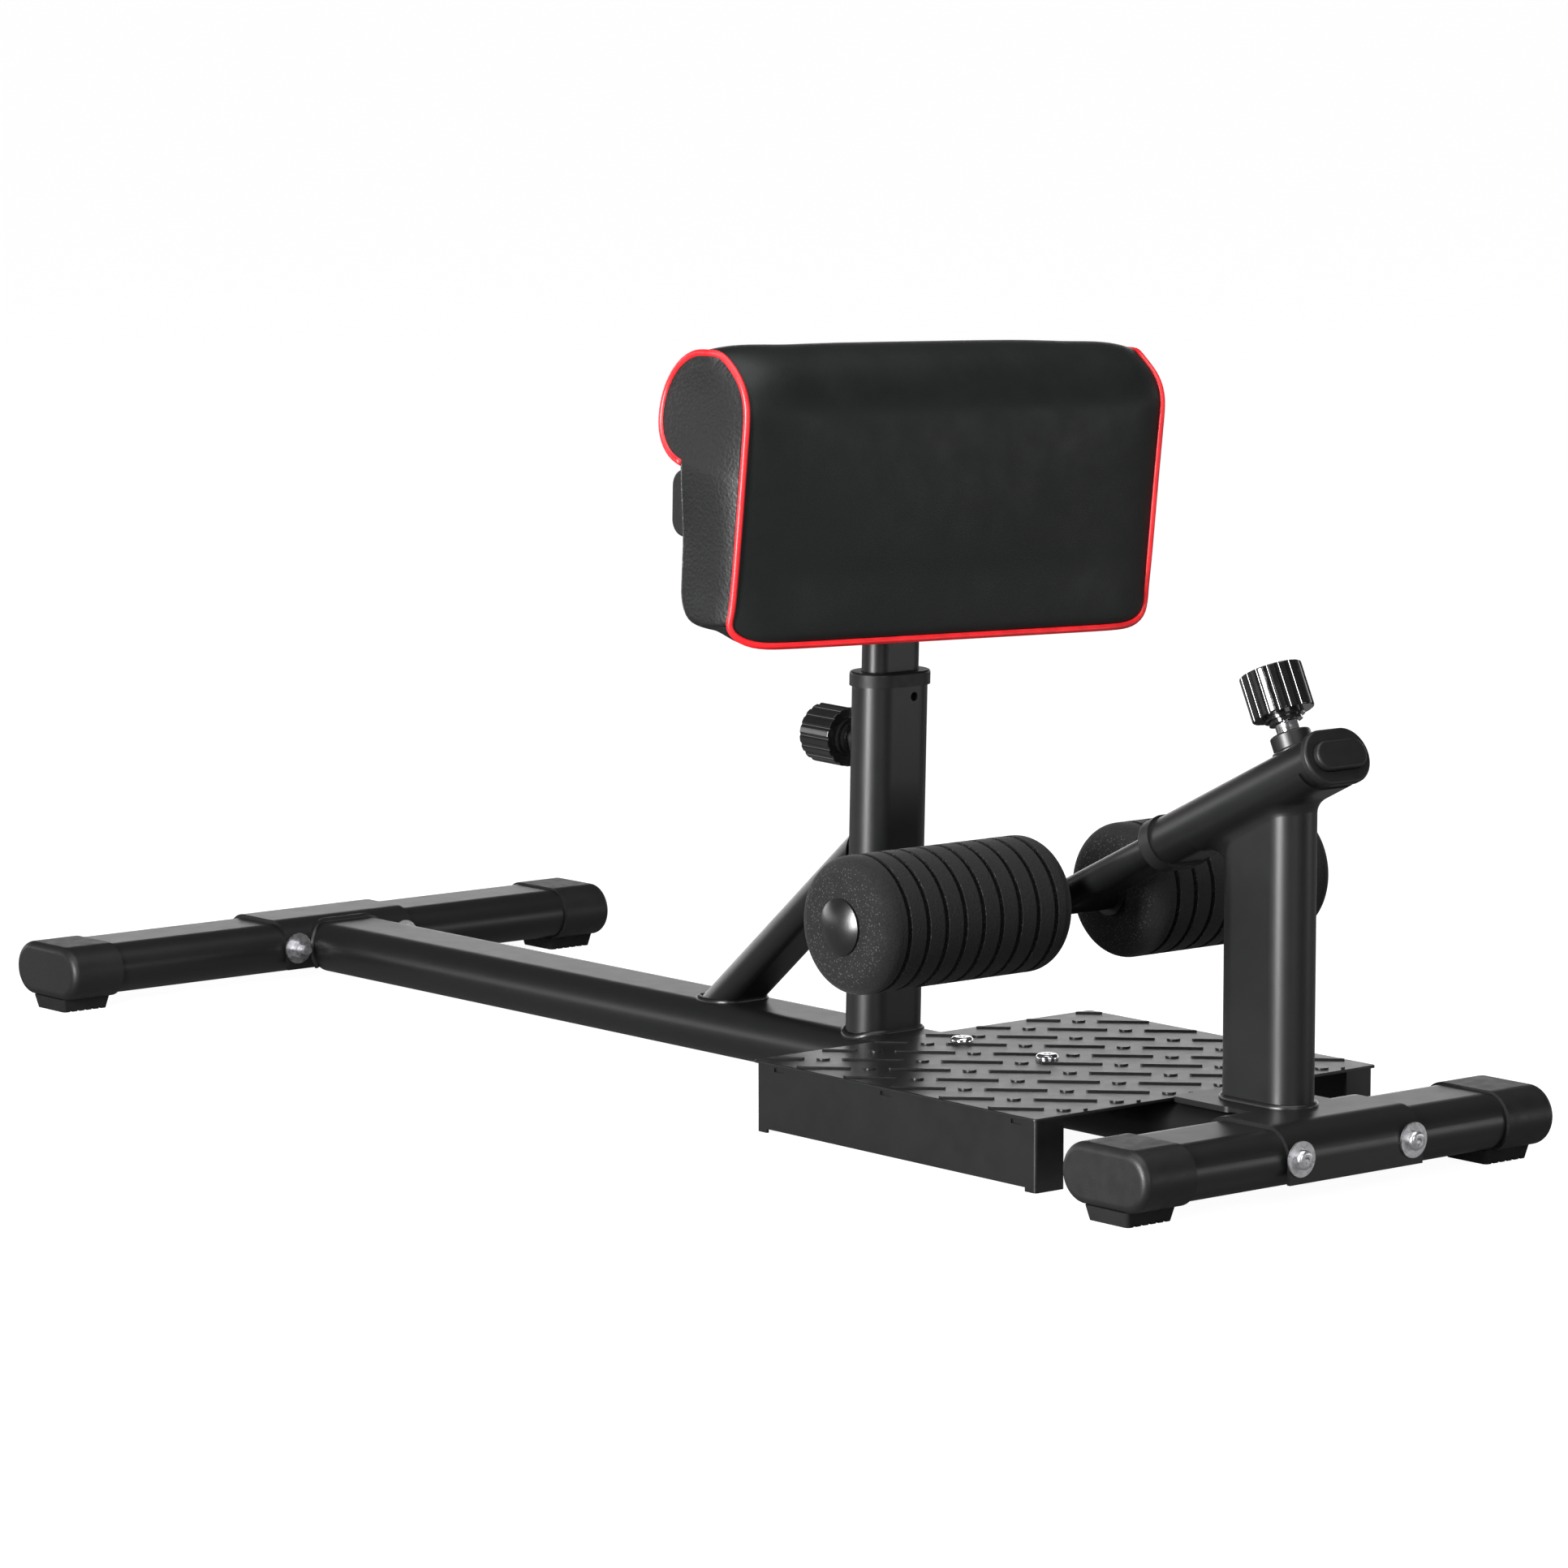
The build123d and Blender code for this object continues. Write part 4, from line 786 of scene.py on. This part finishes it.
def smoothed(points, passes):
    """An open path with its small kinks averaged out."""
    for _ in range(passes):
        middle = [(a + 2 * b + c) / 4 for a, b, c in zip(points, points[1:], points[2:])]
        points = points[:1] + middle + points[-1:]
    return points


# ---- welds ------------------------------------------------------------------------------
def make_welds():
    """Beads where the tubes and the pins' bosses stand on their neighbours."""
    ring, way = ring_round("front_post")
    weld("front_post_foot_weld", ring, -way, "front_saddle", FRAME_WELD_R)
    ring, way = ring_round("seat_post_tube")
    weld("seat_post_foot_weld", ring, -way, "main_tube", POST_WELD_R)
    ring, way = ring_round("seat_post_brace")
    weld("brace_foot_weld", ring, -way, "main_tube", BRACE_WELD_R)
    weld("brace_head_weld", ring, way, "seat_post_tube", BRACE_WELD_R)
    ring, way = ring_round("main_tube")
    weld("main_tube_rear_weld", ring, way if way.y > 0 else -way, "rear_saddle", FRAME_WELD_R)
    ring, way = ring_round("inner_seat_post")
    weld("inner_post_head_weld", ring, way, "pad_bracket", BRACKET_WELD_R, "seat")
    for name, tube_node in (("seat", "seat_post_tube"), ("roller", "roller_sleeve")):
        out = Vector(JOINTS[f"{name}_pin_pull"]["axis"])
        low, high = (Vector(corner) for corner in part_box(f"{name}_pin_boss"))
        width = high.x - low.x
        circle = oval((low + high) / 2, X_WAY, out.cross(X_WAY), width, width, 40)
        weld(f"{name}_boss_weld", circle, -out, tube_node, BOSS_WELD_R)


# ---- stage ------------------------------------------------------------------------------
def make_floor():
    """Pale floor; the light that it throws back up at the bench is kept low, for modelling."""
    reach = FLOOR_REACH
    corners = [(-reach, -reach, 0), (reach, -reach, 0), (reach, reach, 0), (-reach, reach, 0)]
    mesh = bpy.data.meshes.new("floor")
    mesh.from_pydata(corners, [], [(0, 1, 2, 3)])
    material = bpy.data.materials.new("floor_paint")
    material.use_nodes = True
    nodes, links = material.node_tree.nodes, material.node_tree.links
    nodes.remove(nodes["Principled BSDF"])
    seen = nodes.new("ShaderNodeBsdfDiffuse")
    seen.inputs["Color"].default_value = (*grey(FLOOR_SEEN), 1.0)
    lift = nodes.new("ShaderNodeEmission")
    lift.inputs["Strength"].default_value = FLOOR_LIFT
    bright = nodes.new("ShaderNodeAddShader")
    links.new(seen.outputs[0], bright.inputs[0])
    links.new(lift.outputs[0], bright.inputs[1])
    thrown = nodes.new("ShaderNodeBsdfDiffuse")
    thrown.inputs["Color"].default_value = (*grey(FLOOR_BOUNCE), 1.0)
    glow = nodes.new("ShaderNodeEmission")
    glow.inputs["Strength"].default_value = FLOOR_GLOW
    bounced = nodes.new("ShaderNodeAddShader")
    links.new(thrown.outputs[0], bounced.inputs[0])
    links.new(glow.outputs[0], bounced.inputs[1])
    rays = nodes.new("ShaderNodeLightPath")
    pick = nodes.new("ShaderNodeMixShader")
    links.new(rays.outputs["Is Camera Ray"], pick.inputs[0])
    links.new(bounced.outputs[0], pick.inputs[1])
    links.new(bright.outputs[0], pick.inputs[2])
    links.new(pick.outputs[0], nodes["Material Output"].inputs["Surface"])
    mesh.materials.append(material)
    floor = bpy.data.objects.new("floor", mesh)
    bpy.context.scene.collection.objects.link(floor)


def make_world():
    """White surroundings to look at; the light that they give is brightest behind the bench."""
    world = bpy.data.worlds.new("surroundings")
    bpy.context.scene.world = world
    world.use_nodes = True
    nodes, links = world.node_tree.nodes, world.node_tree.links
    background = nodes["Background"]
    background.inputs["Color"].default_value = (1.0, 1.0, 1.0, 1.0)
    direction = nodes.new("ShaderNodeTexCoord").outputs["Generated"]
    facing = nodes.new("ShaderNodeVectorMath")
    facing.operation = "DOT_PRODUCT"
    facing.inputs[1].default_value = BRIGHT_SIDE
    links.new(direction, facing.inputs[0])
    parts = nodes.new("ShaderNodeSeparateXYZ")
    links.new(direction, parts.inputs[0])

    def fade(value, start, end, low, high):
        node = nodes.new("ShaderNodeMapRange")
        node.interpolation_type = "SMOOTHSTEP"
        node.inputs["From Min"].default_value = start
        node.inputs["From Max"].default_value = end
        node.inputs["To Min"].default_value = low
        node.inputs["To Max"].default_value = high
        links.new(value, node.inputs["Value"])
        return node.outputs["Result"]

    behind = fade(facing.outputs["Value"], *WORLD_FADE, 0.0, WORLD_BRIGHT)
    band = fade(parts.outputs["Z"], *HORIZON_TOP, 1.0, 0.0)
    light = nodes.new("ShaderNodeMath")
    light.operation = "MULTIPLY_ADD"
    links.new(behind, light.inputs[0])
    links.new(band, light.inputs[1])
    light.inputs[2].default_value = WORLD_DIM
    rays = nodes.new("ShaderNodeLightPath")
    pick = nodes.new("ShaderNodeMix")
    links.new(rays.outputs["Is Camera Ray"], pick.inputs["Factor"])
    links.new(light.outputs["Value"], pick.inputs[2])
    pick.inputs[3].default_value = 1.0
    links.new(pick.outputs[0], background.inputs["Strength"])


def soft_box(name, place, aim, width, height, power):
    data = bpy.data.lights.new(name, "AREA")
    data.shape = "RECTANGLE"
    data.size = width
    data.size_y = height
    data.energy = power
    light = bpy.data.objects.new(name, data)
    light.location = place
    light.rotation_euler = (Vector(aim) - Vector(place)).to_track_quat("-Z", "Y").to_euler()
    bpy.context.scene.collection.objects.link(light)


def make_camera():
    data = bpy.data.cameras.new("camera")
    data.lens = CAMERA_LENS
    data.sensor_width = CAMERA_SENSOR
    data.clip_end = 500.0
    camera = bpy.data.objects.new("camera", data)
    camera.location = CAMERA_AT
    camera.rotation_euler = (math.radians(90 - CAMERA_ELEVATION), 0, math.radians(CAMERA_AZIMUTH))
    bpy.context.scene.collection.objects.link(camera)
    bpy.context.scene.camera = camera


dress_nodes()
make_cushion()
make_welds()
make_floor()
make_world()
soft_box("overhead", (-0.3, -0.8, 2.4), (0, -0.2, 0), 2.4, 2.0, 46)
soft_box("left_strip", (-2.7, -0.7, 0.7), (0, -0.2, 0.35), 0.6, 1.7, 215)
soft_box("front", (-0.9, -3.2, 1.1), (0, -0.2, 0.3), 1.2, 1.6, 24)
soft_box("front_low", (2.2, -2.6, 0.25), (0, -0.5, 0.1), 1.2, 0.5, 8)
make_camera()
bpy.context.scene.view_settings.view_transform = "Standard"
